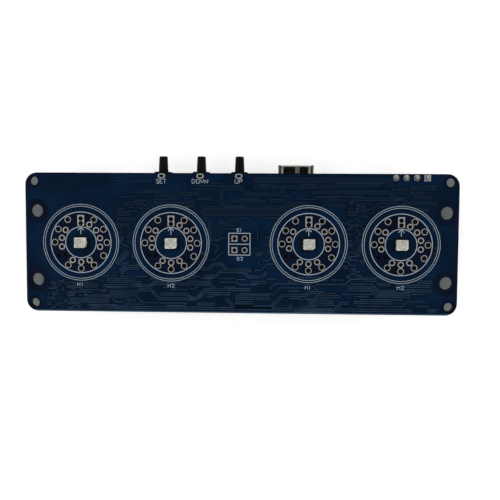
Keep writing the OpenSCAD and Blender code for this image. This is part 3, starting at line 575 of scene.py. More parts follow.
class Finishes(Enum):
    """The finishes of the board's pieces."""

    # painted shade in the drilled holes and a painted highlight along the front edge of the upper face
    LAMINATE = Mask("mask_over_laminate", (0.0014, 0.0052, 0.0190), 0.5, 0.05, cloud=5.0,
                    laminate=(0.075, 0.085, 0.045))
    # the pour carries painted shade round each tube lamp
    POUR = Mask("mask_over_copper", (0.0006, 0.0108, 0.0340), 0.45, 0.05, lamp_surround_shade=(0.0015, 0.0015, 0.0012))
    # the tracks carry painted shade towards the board's rear
    TRACK = Mask("mask_over_tracks", (0.0170, 0.0420, 0.0800), 0.42, 0.08, cloud=3.0,
                 rear=(0.0075, 0.0235, 0.0500))
    TENTED = Mask("mask_over_vias", (0.0110, 0.0190, 0.0380), 0.42, 0.08, cloud=2.0)
    INK = Ink("legend_ink", (0.43, 0.51, 0.59), 0.6, 0.3)
    TINNED = PadMetal("tinned_copper", (0.50, 0.49, 0.495), 0.4, tarnish=(0.29, 0.275, 0.275), patch=0.5,
                      mark=0.12, depth=0.008)
    # painted shade: the lamp leads are tinned metal, coloured dark for the shade round the lamp bodies
    PAINTED_SHADE_LEAD = Metal("painted_shade_leads", (0.10, 0.095, 0.085), 0.4, tarnish=(0.05, 0.045, 0.04), patch=0.4)
    LEAD = Metal("tinned_leads", (0.62, 0.61, 0.59), 0.34, tarnish=(0.36, 0.35, 0.33), patch=0.6, mark=0.05)
    SOLDER = Metal("solder", (0.40, 0.395, 0.39), 0.36, tarnish=(0.17, 0.165, 0.16), patch=0.35, mark=0.16,
                   depth=0.02, tarnished=0.8)
    GOLD = Metal("gold_plating", (0.80, 0.58, 0.25), 0.28, tarnish=(0.62, 0.42, 0.17), patch=0.8)
    LAMP_WHITE = Moulding("lamp_moulding", (0.63, 0.63, 0.605), 0.45, 0.3, grain=0.05)
    LAMP_RESIN = Resin("lamp_resin", (0.80, 0.78, 0.66), 0.2, 0.4)
    DICE = Moulding("lamp_dice", (1.0, 0.95, 0.60), 0.3, 0.5, grain=0.03)
    FRAME = Moulding("lamp_frame", (0.72, 0.69, 0.55), 0.35, 0.5, grain=0.04)
    BUTTON = Moulding("button_moulding", (0.0020, 0.0026, 0.0016), 0.5, 0.09, grain=0.05)
    SWITCH = Moulding("switch_moulding", (0.0025, 0.0026, 0.0022), 0.5, 0.09, grain=0.09)
    CARRIER = Moulding("switch_carrier_moulding", (0.035, 0.024, 0.017), 0.5, 0.4, grain=0.08)
    SPRING = Metal("spring_sheet", (0.60, 0.585, 0.56), 0.26, along=(1, 12, 1), mark=0.04)
    SHELL = ShellMetal("socket_plating", (0.24, 0.235, 0.175), 0.36, tarnish=(0.13, 0.125, 0.09),
                       along=(9, 1, 1), mark=0.04, patch=1.6)
    SOCKET_BLACK = Moulding("socket_moulding", (0.003, 0.0032, 0.003), 0.5, 0.12)
    HEADER_BLACK = Moulding("header_moulding", (0.012, 0.012, 0.012), 0.55, 0.4, grain=0.1)
    CAN = CanMetal("can_aluminium", (0.70, 0.70, 0.71), 0.3, tarnish=(0.55, 0.55, 0.56), along=(8, 8, 1),
                   mark=0.03)
    FOIL = Metal("wound_foil", (0.5, 0.45, 0.36), 0.45, along=(1, 1, 20))
    RUBBER = Moulding("bung_rubber", (0.03, 0.03, 0.031), 0.75, 0.3, grain=0.12, depth=0.01)
    BASE = Moulding("capacitor_base_moulding", (0.012, 0.012, 0.0125), 0.55, 0.4, grain=0.1)
    FERRITE = Ceramic("ferrite", (0.062, 0.062, 0.066), 0.6, 0.35, speck=0.07)
    WIRE = Metal("enamelled_wire", (0.52, 0.17, 0.06), 0.25, tarnish=(0.36, 0.10, 0.03), patch=0.5, mark=0.08)
    EPOXY = Moulding("chip_epoxy", (0.015, 0.015, 0.0165), 0.58, 0.35, grain=0.07, depth=0.006)
    CRYSTAL = Metal("crystal_lid", (0.62, 0.59, 0.52), 0.3, along=(10, 1, 1), mark=0.04)
    CELL = CellMetal("cell_steel", (0.60, 0.60, 0.585), 0.27, tarnish=(0.42, 0.42, 0.41))
    GLAZE = Ceramic("resistor_glaze", (0.014, 0.014, 0.016), 0.3, 0.5, speck=0.09, contrast=0.3)
    BODY_TAN = Ceramic("capacitor_ceramic", (0.26, 0.155, 0.085), 0.42, 0.45, speck=0.08, contrast=0.22)
    # the floor carries a painted shadow under the board
    FLOOR = Paper("floor_paper", (0.93, 0.93, 0.93), 0.9, 0.1)

    def material(self) -> bpy.types.Material:
        """The finish's material."""
        return self.value.material()


# Flat outlines, anticlockwise and in millimetres


def circle(radius: float, count: int = 32, at: Spot = (0.0, 0.0)) -> Outline:
    """A circle's outline."""
    return [(at[0] + radius * math.cos(TURN * i / count), at[1] + radius * math.sin(TURN * i / count))
            for i in range(count)]


def rounded(width: float, depth: float, corner: float, at: Spot = (0.0, 0.0), steps: int = 5) -> Outline:
    """A rectangle with round corners."""
    found = []
    for turn, (sx, sy) in enumerate(((1, 1), (-1, 1), (-1, -1), (1, -1))):
        centre = (at[0] + sx * (width / 2 - corner), at[1] + sy * (depth / 2 - corner))
        for i in range(steps + 1):
            angle = (turn + i / steps) * TURN / 4
            found.append((centre[0] + corner * math.cos(angle), centre[1] + corner * math.sin(angle)))
    return found


def oblong(length: float, width: float, at: Spot = (0.0, 0.0)) -> Outline:
    """A slot along X with round ends."""
    return rounded(length, width, width / 2 - 0.0005, at, 8)


def offset(outline: Sequence[Spot], by: float, closed: bool = True) -> Outline:
    """Move the sides of an outline outwards, or a path to its right.

    Args:
        outline: The corners, anticlockwise where they close.
        by: How far the sides move; inwards or to the left where it is negative.
        closed: Whether the last corner joins the first.

    Returns:
        As many corners as were given.
    """
    found = []
    count, sharpest = len(outline), 0.3 if closed else 0.5
    for i, (x, y) in enumerate(outline):
        sides = []
        for start, end in ((i - 1, i), (i, i + 1)):
            if closed or (start >= 0 and end < count):
                (ax, ay), (bx, by_) = outline[start], outline[end % count]
                run = math.hypot(bx - ax, by_ - ay) or 1.0
                sides.append(((by_ - ay) / run, -(bx - ax) / run))
        (px, py), (qx, qy) = sides[0], sides[-1]
        reach = by / max(sharpest, 1 + px * qx + py * qy)
        found.append((x + (px + qx) * reach, y + (py + qy) * reach))
    return found


def band(path: Sequence[Spot], width: float) -> Outline:
    """The outline of a path drawn with a broad pen, a little longer than the path."""
    (ax, ay), (bx, by) = path[0], path[1]
    (cx, cy), (dx, dy) = path[-2], path[-1]
    first, last = math.hypot(bx - ax, by - ay), math.hypot(dx - cx, dy - cy)
    push = width / 2
    longer = [(ax - (bx - ax) / first * push, ay - (by - ay) / first * push), *path[1:-1],
              (dx + (dx - cx) / last * push, dy + (dy - cy) / last * push)]
    return [*offset(longer, push, False), *reversed(offset(longer, -push, False))]


HEADINGS = {"N": (0, 1), "S": (0, -1), "E": (1, 0), "W": (-1, 0),
            "NE": (1, 1), "NW": (-1, 1), "SE": (1, -1), "SW": (-1, -1)}


def walk(start: Spot, route: str) -> Outline:
    """The path of a route such as "E6 SE1.2 E5", in headings and millimetres."""
    found = [start]
    for step in route.split():
        heading = step.rstrip("0123456789.")
        run = float(step[len(heading):])
        dx, dy = HEADINGS[heading]
        found.append((found[-1][0] + dx * run, found[-1][1] + dy * run))
    return found


class Layer:
    """A flat layer that is painted with outlines: each adds to what is there or cuts it away."""

    def __init__(self) -> None:
        """Start with nothing."""
        self.shapes: list[tuple[Outline, bool]] = []

    def keep(self, *outlines: Outline) -> None:
        """Add these outlines to the layer."""
        self.shapes += [(outline, True) for outline in outlines]

    def cut(self, *outlines: Outline) -> None:
        """Cut these outlines out of the layer."""
        self.shapes += [(outline, False) for outline in outlines]

    def triangles(self) -> tuple[list[Spot], list[tuple[int, int, int]]]:
        """The layer as corners and triangles: the last outline over a place decides what is there."""
        spots = [Vector(spot) for outline, _ in self.shapes for spot in outline]
        faces, start = [], 0
        for outline, _ in self.shapes:
            faces.append(list(range(start, start + len(outline))))
            start += len(outline)
        corners, _, found, _, _, origins = delaunay_2d_cdt(spots, [], faces, 1, 1e-4)
        kept = [tuple(face) for face, origin in zip(found, origins) if origin and self.shapes[max(origin)][1]]
        used = {corner: i for i, corner in enumerate(sorted({i for face in kept for i in face}))}
        return [tuple(corners[i]) for i in used], [tuple(used[i] for i in face) for face in kept]


# Closed shells and the pieces that they make


def at_place(x: float, y: float, z: float = 0.0) -> Matrix:
    """Stand a shape at a place."""
    return Matrix.Translation((x, y, z))


def spun(turn: float, x: float = 0.0, y: float = 0.0) -> Matrix:
    """Set a shape at a place, and turn both about Z by degrees."""
    return Matrix.Rotation(math.radians(turn), 4, "Z") @ at_place(x, y)


def hung(x: float, y: float, turn: float = 0.0) -> Matrix:
    """Hang a shape from the board's underside."""
    return at_place(x, y) @ Matrix.Scale(-1, 4, (0, 0, 1)) @ spun(turn)


def facing_rear(x: float, y: float, z: float) -> Matrix:
    """Turn a shape's Z axis to the rear, and its Y axis down."""
    return Matrix.Translation((x, y, z)) @ Matrix.Rotation(-TURN / 4, 4, "X")


def settle(bm: bmesh.types.BMesh, sharp: float) -> None:
    """Merge doubles, turn the faces outwards and shade smoothly below an angle.

    Args:
        bm: The shells, which are changed.
        sharp: Degrees from which an edge stays sharp.
    """
    bmesh.ops.remove_doubles(bm, verts=bm.verts, dist=1e-7)
    bmesh.ops.recalc_face_normals(bm, faces=bm.faces)
    limit = math.radians(sharp)
    for face in bm.faces:
        face.smooth = True
    for edge in bm.edges:
        edge.smooth = len(edge.link_faces) == 2 and edge.calc_face_angle(0.0) < limit


def finished(name: str, bm: bmesh.types.BMesh, finish: Finishes) -> bpy.types.Object:
    """Turn shells into an object at the origin with its finish."""
    mesh = bpy.data.meshes.new(name)
    bm.to_mesh(mesh)
    bm.free()
    mesh.materials.append(finish.material())
    made = bpy.data.objects.new(name, mesh)
    bpy.context.scene.collection.objects.link(made)
    return made


def enlist(piece: bpy.types.Object, slot: str, body: str = "board", replaces: Iterable[str] = ()) -> None:
    """Let a piece ride on its body and stand for its nodes.

    Args:
        piece: The finished piece.
        slot: The record's material slot; not used.
        body: The body that it moves with.
        replaces: The nodes that it stands for.
    """
    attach(piece, body)
    if replaces:
        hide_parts(*replaces)
    LOG.info("%s: %d faces, on %s", piece.name, len(piece.data.polygons), body)


class Shell:
    """Closed shells in millimetres, gathered into one piece."""

    def __init__(self) -> None:
        """Start with no shells."""
        self.points: list[Vector] = []
        self.local: list[Vector] = []
        self.faces: list[tuple[int, ...]] = []

    def add(self, points: Iterable[Sequence[float]], faces: Iterable[Sequence[int]], place: Matrix) -> None:
        """Add points and faces, set in place."""
        start = len(self.points)
        fresh = [Vector(point) for point in points]
        self.local += fresh
        self.points += [place @ point for point in fresh]
        self.faces += [tuple(start + i for i in face) for face in faces]

    def loft(self, rings: Sequence[Sequence[Sequence[float]]], place: Matrix, closed: bool = False,
             caps: tuple[bool, bool] = (True, True)) -> None:
        """Join rings of equal count.

        Args:
            rings: The rings of points, from the first to the last.
            place: Where the shell goes.
            closed: Whether the last ring joins the first.
            caps: Whether the first and the last ring are filled.
        """
        count, rows = len(rings[0]), len(rings)
        faces: list[Sequence[int]] = []
        for a in range(rows if closed else rows - 1):
            b = (a + 1) % rows
            faces += [(a * count + i, a * count + (i + 1) % count, b * count + (i + 1) % count, b * count + i)
                      for i in range(count)]
        if not closed and caps[0]:
            faces.append(tuple(reversed(range(count))))
        if not closed and caps[1]:
            faces.append(tuple(range((rows - 1) * count, rows * count)))
        self.add([point for ring in rings for point in ring], faces, place)

    def stack(self, outline: Sequence[Spot], levels: Sequence[Level], place: Matrix,
              caps: tuple[bool, bool] = (True, True), closed: bool = False) -> None:
        """Stack an outline at levels of (height, growth)."""
        self.loft([[(x, y, z) for x, y in offset(outline, by)] for z, by in levels], place, closed, caps)

    def lathe(self, profile: Sequence[Level], place: Matrix, steps: int = 48) -> None:
        """Turn a profile of (radius, height) about Z."""
        self.loft([[(x, y, z) for x, y in circle(r, steps)] for r, z in profile], place)

    def ring(self, outer: Sequence[Spot], inner: Sequence[Spot], place: Matrix) -> None:
        """Fill the flat face between two outlines at the height of place."""
        layer = Layer()
        layer.keep(list(outer))
        layer.cut(list(inner))
        corners, faces = layer.triangles()
        self.add([(x, y, 0.0) for x, y in corners], faces, place)

    def collar(self, outline: Sequence[Spot], levels: Sequence[Level], hole: Sequence[Spot],
               hole_levels: Sequence[Level], place: Matrix) -> None:
        """A body with a hole in its top.

        Args:
            outline: The body's outline.
            levels: Its (height, growth) levels from the bottom to the top.
            hole: The hole's outline.
            hole_levels: The hole's levels from the top down.
            place: Where the body goes.
        """
        self.stack(outline, levels, place, (True, False))
        self.stack(hole, hole_levels, place, (False, True))
        top, growth = levels[-1]
        self.ring(offset(outline, growth), offset(hole, hole_levels[0][1]), place @ at_place(0, 0, top))

    def slab(self, layer: Layer, low: float, high: float, place: Matrix | None = None) -> None:
        """A flat layer with a thickness."""
        corners, faces = layer.triangles()
        count = len(corners)
        sides: dict[frozenset[int], tuple[int, int]] = {}
        for face in faces:
            for a, b in zip(face, (*face[1:], face[0])):
                key = frozenset((a, b))
                if sides.pop(key, None) is None:
                    sides[key] = (a, b)
        walls = [(a, b, b + count, a + count) for a, b in sides.values()]
        tops = [tuple(i + count for i in face) for face in faces]
        points = [(x, y, low) for x, y in corners] + [(x, y, high) for x, y in corners]
        self.add(points, [*faces, *tops, *walls], place or Matrix())

    def piece(self, name: str, finish: Finishes, sharp: float = 32.0) -> bpy.types.Object:
        """Make the gathered shells one object."""
        bm = bmesh.new()
        own = bm.verts.layers.float_vector.new("local")
        for point, local in zip(self.points, self.local):
            vert = bm.verts.new(point * MM)
            vert[own] = local
        bm.verts.ensure_lookup_table()
        for face in self.faces:
            if len(set(face)) > 2:
                try:
                    bm.faces.new([bm.verts[i] for i in face])
                except ValueError:
                    LOG.debug("%s: a face is there twice", name)
        settle(bm, sharp)
        return finished(name, bm, finish)


def eased_copy(name: str, nodes: Sequence[str], finish: Finishes, edge: float, segments: int = 2,
               shape: Callable[[Vector], None] | None = None, sharp: float = 34.0) -> bpy.types.Object:
    """A copy of some nodes whose sharp edges are rounded.

    Args:
        name: The piece's name.
        nodes: The nodes that are copied.
        finish: Its finish.
        edge: Radius of the rounding in millimetres.
        segments: Faces across a rounded edge.
        shape: Moves each point, in millimetres, before the edges are rounded.
        sharp: Degrees from which an edge is rounded.

    Returns:
        The new object.
    """
    bm = bmesh.new()
    for node in nodes:
        bm.from_mesh(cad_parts[node].data)
    bmesh.ops.remove_doubles(bm, verts=bm.verts, dist=2e-6)
    flat = [e for e in bm.edges if len(e.link_faces) == 2 and e.calc_face_angle(0.0) < math.radians(0.6)]
    bmesh.ops.dissolve_edges(bm, edges=flat, use_verts=False)
    loose = [v for v in bm.verts if len(v.link_edges) == 2 and v.calc_edge_angle(0.0) < math.radians(0.5)]
    bmesh.ops.dissolve_verts(bm, verts=loose)
    if shape:
        for vert in bm.verts:
            point = vert.co / MM
            shape(point)
            vert.co = point * MM
    corners = [e for e in bm.edges if len(e.link_faces) == 2 and e.calc_face_angle(0.0) > math.radians(sharp)]
    bmesh.ops.bevel(bm, geom=corners, offset=edge * MM, offset_type="OFFSET", segments=segments, profile=0.5,
                    affect="EDGES", clamp_overlap=True)
    bmesh.ops.triangulate(bm, faces=[f for f in bm.faces if len(f.verts) > 4])
    own = bm.verts.layers.float_vector.new("local")
    for vert in bm.verts:
        vert[own] = vert.co / MM
    settle(bm, 40.0)
    return finished(name, bm, finish)


# Geometry Nodes: what repeats or follows a path


class Growth:
    """A Geometry Nodes tree with named inputs, run once on a base mesh and kept as a plain mesh."""

    sizes: tuple[str, ...] = ()

    def __init__(self) -> None:
        """Make the tree, its inputs and its last two nodes."""
        name = type(self).__name__
        self.tree = bpy.data.node_groups.new(name, "GeometryNodeTree")
        self.tree.interface.new_socket("Geometry", in_out="INPUT", socket_type="NodeSocketGeometry")
        self.tree.interface.new_socket("Geometry", in_out="OUTPUT", socket_type="NodeSocketGeometry")
        self.keys = {size: self.tree.interface.new_socket(size, in_out="INPUT",
                                                          socket_type="NodeSocketFloat").identifier
                     for size in self.sizes}
        self.keys["Finish"] = self.tree.interface.new_socket("Finish", in_out="INPUT",
                                                             socket_type="NodeSocketMaterial").identifier
        self.graph = Graph(self.tree)
        self.given = self.graph.node("NodeGroupInput")
        real = self.graph.get("GeometryNodeRealizeInstances", None, {"Geometry": self.grow()})
        dressed = self.graph.get("GeometryNodeSetMaterial", None,
                                 {"Geometry": real, "Material": self.input("Finish")})
        self.graph.node("NodeGroupOutput", None, {0: dressed})

    def input(self, name: str) -> Value:
        """One of the tree's named inputs."""
        return self.graph.out(self.given, name)

    def grow(self) -> Value:
        """Build the tree between its input and its last two nodes."""
        raise NotImplementedError

    def run(self, name: str, points: Sequence[Sequence[float]], edges: Sequence[tuple[int, int]],
            finish: Finishes, sharp: float = 32.0, **sizes: float) -> bpy.types.Object:
        """Grow a piece.

        Args:
            name: The piece's name.
            points: The base mesh's points in millimetres.
            edges: The base mesh's edges.
            finish: The piece's finish.
            sharp: Degrees from which an edge stays sharp.
            sizes: The tree's sizes in millimetres; an underscore in a name stands for a space.

        Returns:
            The piece as a plain mesh.
        """
        base = bpy.data.meshes.new(name + "_base")
        base.from_pydata([Vector(point) * MM for point in points], edges, [])
        holder = bpy.data.objects.new(name + "_base", base)
        bpy.context.scene.collection.objects.link(holder)
        modifier = holder.modifiers.new("growth", "NODES")
        modifier.node_group = self.tree
        for size, value in sizes.items():
            modifier[self.keys[size.replace("_", " ")]] = value * MM
        modifier[self.keys["Finish"]] = finish.material()
        bpy.context.view_layer.update()
        grown = bpy.data.meshes.new_from_object(holder.evaluated_get(bpy.context.evaluated_depsgraph_get()))
        bpy.data.objects.remove(holder)
        bm = bmesh.new()
        bm.from_mesh(grown)
        settle(bm, sharp)
        made = finished(name, bm, finish)
        bpy.data.meshes.remove(grown)
        return made


class StripGrowth(Growth):
    """Sweeps a flat section along the edges of the base mesh, with rounded bends."""

    sizes = ("Width", "Top width", "Thickness", "Bend radius")

    def grow(self) -> Value:
        """Path, bends, section and sweep."""
        graph = self.graph
        path = graph.get("GeometryNodeMeshToCurve", None, {"Mesh": self.input("Geometry")})
        bent = graph.get("GeometryNodeFilletCurve", {"mode": "POLY"},
                         {"Curve": path, "Count": 3, "Radius": self.input("Bend radius"), "Limit Radius": True})
        upright = graph.get("GeometryNodeSetCurveNormal", {"mode": "Z_UP"}, {"Curve": bent})
        section = graph.get("GeometryNodeCurvePrimitiveQuadrilateral", {"mode": "TRAPEZOID"},
                            {"Height": self.input("Thickness"), "Bottom Width": self.input("Top width"),
                             "Top Width": self.input("Width"), "Offset": 0.0})
        return graph.get("GeometryNodeCurveToMesh", None,
                         {"Curve": upright, "Profile Curve": section, "Fill Caps": True})


class PlatedHoleGrowth(Growth):
    """Sets a plated hole, with a rolled ring of tinned copper on both faces, on each point."""

    sizes = ("Hole radius", "Rim", "Copper", "Board")
    steps = 20

    def ring(self, radius: Value, width: Value, height: Value, low: Value | float) -> Value:
        """A ring of a radius whose section is a box with eased edges."""
        graph = self.graph
        section = graph.get("GeometryNodeCurvePrimitiveQuadrilateral", {"mode": "RECTANGLE"},
                            {"Width": width, "Height": height})
        eased = graph.get("GeometryNodeFilletCurve", {"mode": "POLY"},
                          {"Curve": section, "Count": 1, "Radius": height * 0.42, "Limit Radius": True})
        round_path = graph.get("GeometryNodeCurvePrimitiveCircle", {"mode": "RADIUS"},
                               {"Resolution": self.steps, "Radius": radius})
        swept = graph.get("GeometryNodeCurveToMesh", None, {"Curve": round_path, "Profile Curve": eased})
        lift = graph.get("ShaderNodeCombineXYZ", None, {"Z": low + height * 0.5})
        return graph.get("GeometryNodeTransform", None, {"Geometry": swept, "Translation": lift})

    def grow(self) -> Value:
        """Two rings and a barrel, set on every point."""
        hole, rim, copper, board = (self.input(name) for name in self.sizes)
        plating = copper * 0.3
        both = self.graph.node("GeometryNodeJoinGeometry")
        for part in (self.ring(hole + rim * 0.5, rim, copper, board),
                     self.ring(hole + rim * 0.5, rim, copper, 0 - copper),
                     self.ring(hole + plating * 0.5, plating, board, 0 * board)):
            self.tree.links.new(part.socket, both.inputs[0])
        return self.graph.get("GeometryNodeInstanceOnPoints", None,
                              {"Points": self.input("Geometry"), "Instance": self.graph.out(both)})


class WindingGrowth(Growth):
    """Winds round wire on each point, as one layer of close turns."""

    sizes = ("Radius", "Height", "Wire radius")

    def grow(self) -> Value:
        """A spiral of as many turns as fit the height, swept with a round section."""
        graph = self.graph
        height, wire = self.input("Height"), self.input("Wire radius")
        spiral = graph.get("GeometryNodeCurveSpiral", None,
                           {"Resolution": 36, "Rotations": height / (wire * 2.02), "Height": height,
                            "Start Radius": self.input("Radius"), "End Radius": self.input("Radius")})
        section = graph.get("GeometryNodeCurvePrimitiveCircle", {"mode": "RADIUS"},
                            {"Resolution": 7, "Radius": wire})
        swept = graph.get("GeometryNodeCurveToMesh", None,
                          {"Curve": spiral, "Profile Curve": section, "Fill Caps": True})
        return graph.get("GeometryNodeInstanceOnPoints", None,
                         {"Points": self.input("Geometry"), "Instance": swept})


@functools.cache
def tree_of(kind: type[Growth]) -> Growth:
    """The Geometry Nodes tree of one kind, made when it is first used."""
    return kind()


def strips(name: str, paths: Sequence[Sequence[Sequence[float]]], finish: Finishes, width: float, thick: float,
           top: float | None = None, bend: float = 0.0) -> bpy.types.Object:
    """Sweep flat strips along paths.

    Args:
        name: The piece's name.
        paths: The strips' centre lines in millimetres.
        finish: Their finish.
        width: Their width.
        thick: Their thickness.
        top: Their width at the top, where it differs.
        bend: Radius of their bends.

    Returns:
        The strips as one plain mesh.
    """
    points: list[Sequence[float]] = []
    edges: list[tuple[int, int]] = []
    for path in paths:
        start = len(points)
        points += list(path)
        edges += [(start + i, start + i + 1) for i in range(len(path) - 1)]
    return tree_of(StripGrowth).run(name, points, edges, finish, Width=width,
                                      Top_width=width if top is None else top, Thickness=thick, Bend_radius=bend)


def soften(outline: Sequence[Spot], by: float, steps: int = 3) -> Outline:
    """Round an outline's corners, starting a distance before each."""
    found = []
    for i, corner in enumerate(outline):
        before, after = Vector(outline[i - 1]), Vector(outline[(i + 1) % len(outline)])
        here = Vector(corner)
        start = here + (before - here).normalized() * by
        end = here + (after - here).normalized() * by
        for k in range(steps + 1):
            t = k / steps
            found.append(tuple(start * (1 - t) ** 2 + here * (2 * t * (1 - t)) + end * t ** 2))
    return found


def moved(place: Matrix, path: Iterable[Sequence[float]]) -> list[Vector]:
    """A path set in place."""
    return [place @ Vector(point) for point in path]


def dress(finish: Finishes, *nodes: str) -> None:
    """Give carried-over nodes a finish."""
    for node in nodes:
        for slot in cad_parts[node].material_slots:
            slot.link = "OBJECT"
            slot.material = finish.material()


# The board and what is printed on it


@dataclass(frozen=True)
class Layout:
    """Where things are on the board, in millimetres."""

    width: float = 108.0
    depth: float = 35.0
    corner: float = 3.0
    thick: float = 1.6
    pad: float = 0.06
    tubes: tuple[float, ...] = (-40.0, -17.2, 17.2, 40.0)
    ring_radii: tuple[float, float] = (6.6, 4.95)
    ring_places: tuple[tuple[float, ...], tuple[float, ...]] = (
        (30, 60, 90, 120, 150, 180, 210, 270, 300, 330),
        tuple(i * 360 / 14 for i in (1, 2, 3, 4, 6, 7, 8, 10, 11, 12)))
    shown_holes: tuple[float, float] = (0.64, 0.51)
    pad_radii: tuple[float, float] = (0.83, 0.79)
    bare_ring: tuple[float, float] = (3.75, 7.45)
    corner_holes: tuple[float, float] = (51.9, 15.4)
    standoff_x: float = 51.2
    standoff_ys: tuple[float, float] = (7.9, -9.5)
    header_xs: tuple[float, ...] = (38.53, 41.07, 43.61, 46.15)
    header_y: float = 16.5
    slot_xs: tuple[float, ...] = (-19.55, -9.9, -0.25)
    slot_y: float = 16.76
    separator_x: float = 1.27
    separator_ys: tuple[float, float] = (1.245, -1.625)

    def ring_pads(self, ring: int) -> list[Spot]:
        """The centres of one ring's pads, for every tube."""
        radius = self.ring_radii[ring]
        return [(x + radius * math.sin(math.radians(a)), radius * math.cos(math.radians(a)))
                for x in self.tubes for a in self.ring_places[ring]]

    def clearances(self) -> list[Outline]:
        """What the copper under the mask keeps clear of, on both faces."""
        found = [circle(1.75, 28, (sx * self.corner_holes[0], sy * self.corner_holes[1]))
                 for sx in (-1, 1) for sy in (-1, 1)]
        found += [circle(3.1, 44, (sx * self.standoff_x, y)) for sx in (-1, 1) for y in self.standoff_ys]
        found += [oblong(3.1, 2.45, (x, self.slot_y - 0.1)) for x in self.slot_xs]
        found += [circle(1.12, 24, (x, self.header_y)) for x in self.header_xs]
        found += [circle(1.15, 24, (sx * self.separator_x, y)) for sx in (-1, 1) for y in self.separator_ys]
        return found


@dataclass
class Weaver:
    """Lays tracks that keep clear of each other and of what is marked."""

    seed: int
    level: float = 0.85
    cell: float = 0.24
    pitch: float = 0.5
    taken: set[tuple[int, int]] = field(default_factory=set)

    def cells(self, path: Sequence[Spot]) -> set[tuple[int, int]]:
        """The grid cells under a path."""
        found = set()
        for (ax, ay), (bx, by) in zip(path, path[1:]):
            steps = max(1, round(math.hypot(bx - ax, by - ay) / (self.cell / 2)))
            for i in range(steps + 1):
                t = i / steps
                found.add((round((ax + (bx - ax) * t) / self.cell), round((ay + (by - ay) * t) / self.cell)))
        return found

    def mark(self, path: Sequence[Spot]) -> None:
        """Mark what is under a path, and a cell round it, as taken."""
        self.taken |= {(x + i, y + j) for x, y in self.cells(path) for i in (-1, 0, 1) for j in (-1, 0, 1)}

    def block(self, centre: Spot, wide: float, deep: float | None = None) -> None:
        """Mark a rectangle as taken, or a disc where only its radius is given."""
        across = round(wide / self.cell)
        along = across if deep is None else round(deep / self.cell)
        x, y = (round(c / self.cell) for c in centre)
        self.taken |= {(x + i, y + j) for i in range(-across, across + 1) for j in range(-along, along + 1)
                       if deep is not None or i * i + j * j <= across * across}

    def claim(self, path: Sequence[Spot]) -> bool:
        """Take a path's place if it is free."""
        if not self.cells(path).isdisjoint(self.taken):
            return False
        self.mark(path)
        return True

    def route(self, dice: random.Random, reach: float) -> str:
        """A random route: level runs joined by short slants, or now and then one that turns as it likes."""
        if dice.random() < self.level:
            way = dice.choice("EW")
            steps = [f"{way}{dice.uniform(reach * 0.3, reach):.2f}"]
            for _ in range(dice.choice((0, 1, 1, 1, 2))):
                steps += [f"{dice.choice('NS')}{way}{dice.uniform(0.5, 1.9):.2f}",
                          f"{way}{dice.uniform(reach * 0.3, reach):.2f}"]
            return " ".join(steps)
        ring = ["E", "NE", "N", "NW", "W", "SW", "S", "SE"]
        heading = dice.choice((0, 1, 2, 3, 4, 5, 6, 7))
        steps = []
        for _ in range(dice.choice((2, 3, 3, 4))):
            steps.append(f"{ring[heading % 8]}{dice.uniform(0.4, reach * 0.5):.2f}")
            heading += dice.choice((-1, 1))
        return " ".join(steps)

    def weave(self, box: tuple[float, float, float, float], tries: int, longest: float) -> list[Outline]:
        """Random tracks with bends of 45 degrees inside a box.

        Args:
            box: Its lowest x and y and its highest x and y.
            tries: How many tracks are tried.
            longest: The longest straight run.

        Returns:
            The tracks that found a place.
        """
        dice = random.Random(self.seed)
        found = []
        for attempt in range(tries):
            route = self.route(dice, longest * (1 - 0.6 * attempt / tries))
            path = walk((dice.uniform(box[0], box[2]), dice.uniform(box[1], box[3])), route)
            for i in range(dice.choice((1, 2, 2, 3) if 2 * attempt < tries else (1, 1, 2))):
                line = offset(path, i * self.pitch, False)
                inside = all(box[0] <= x <= box[2] and box[1] <= y <= box[3] for x, y in line)
                if not inside or not self.claim(line):
                    break
                found.append(line)
        return found


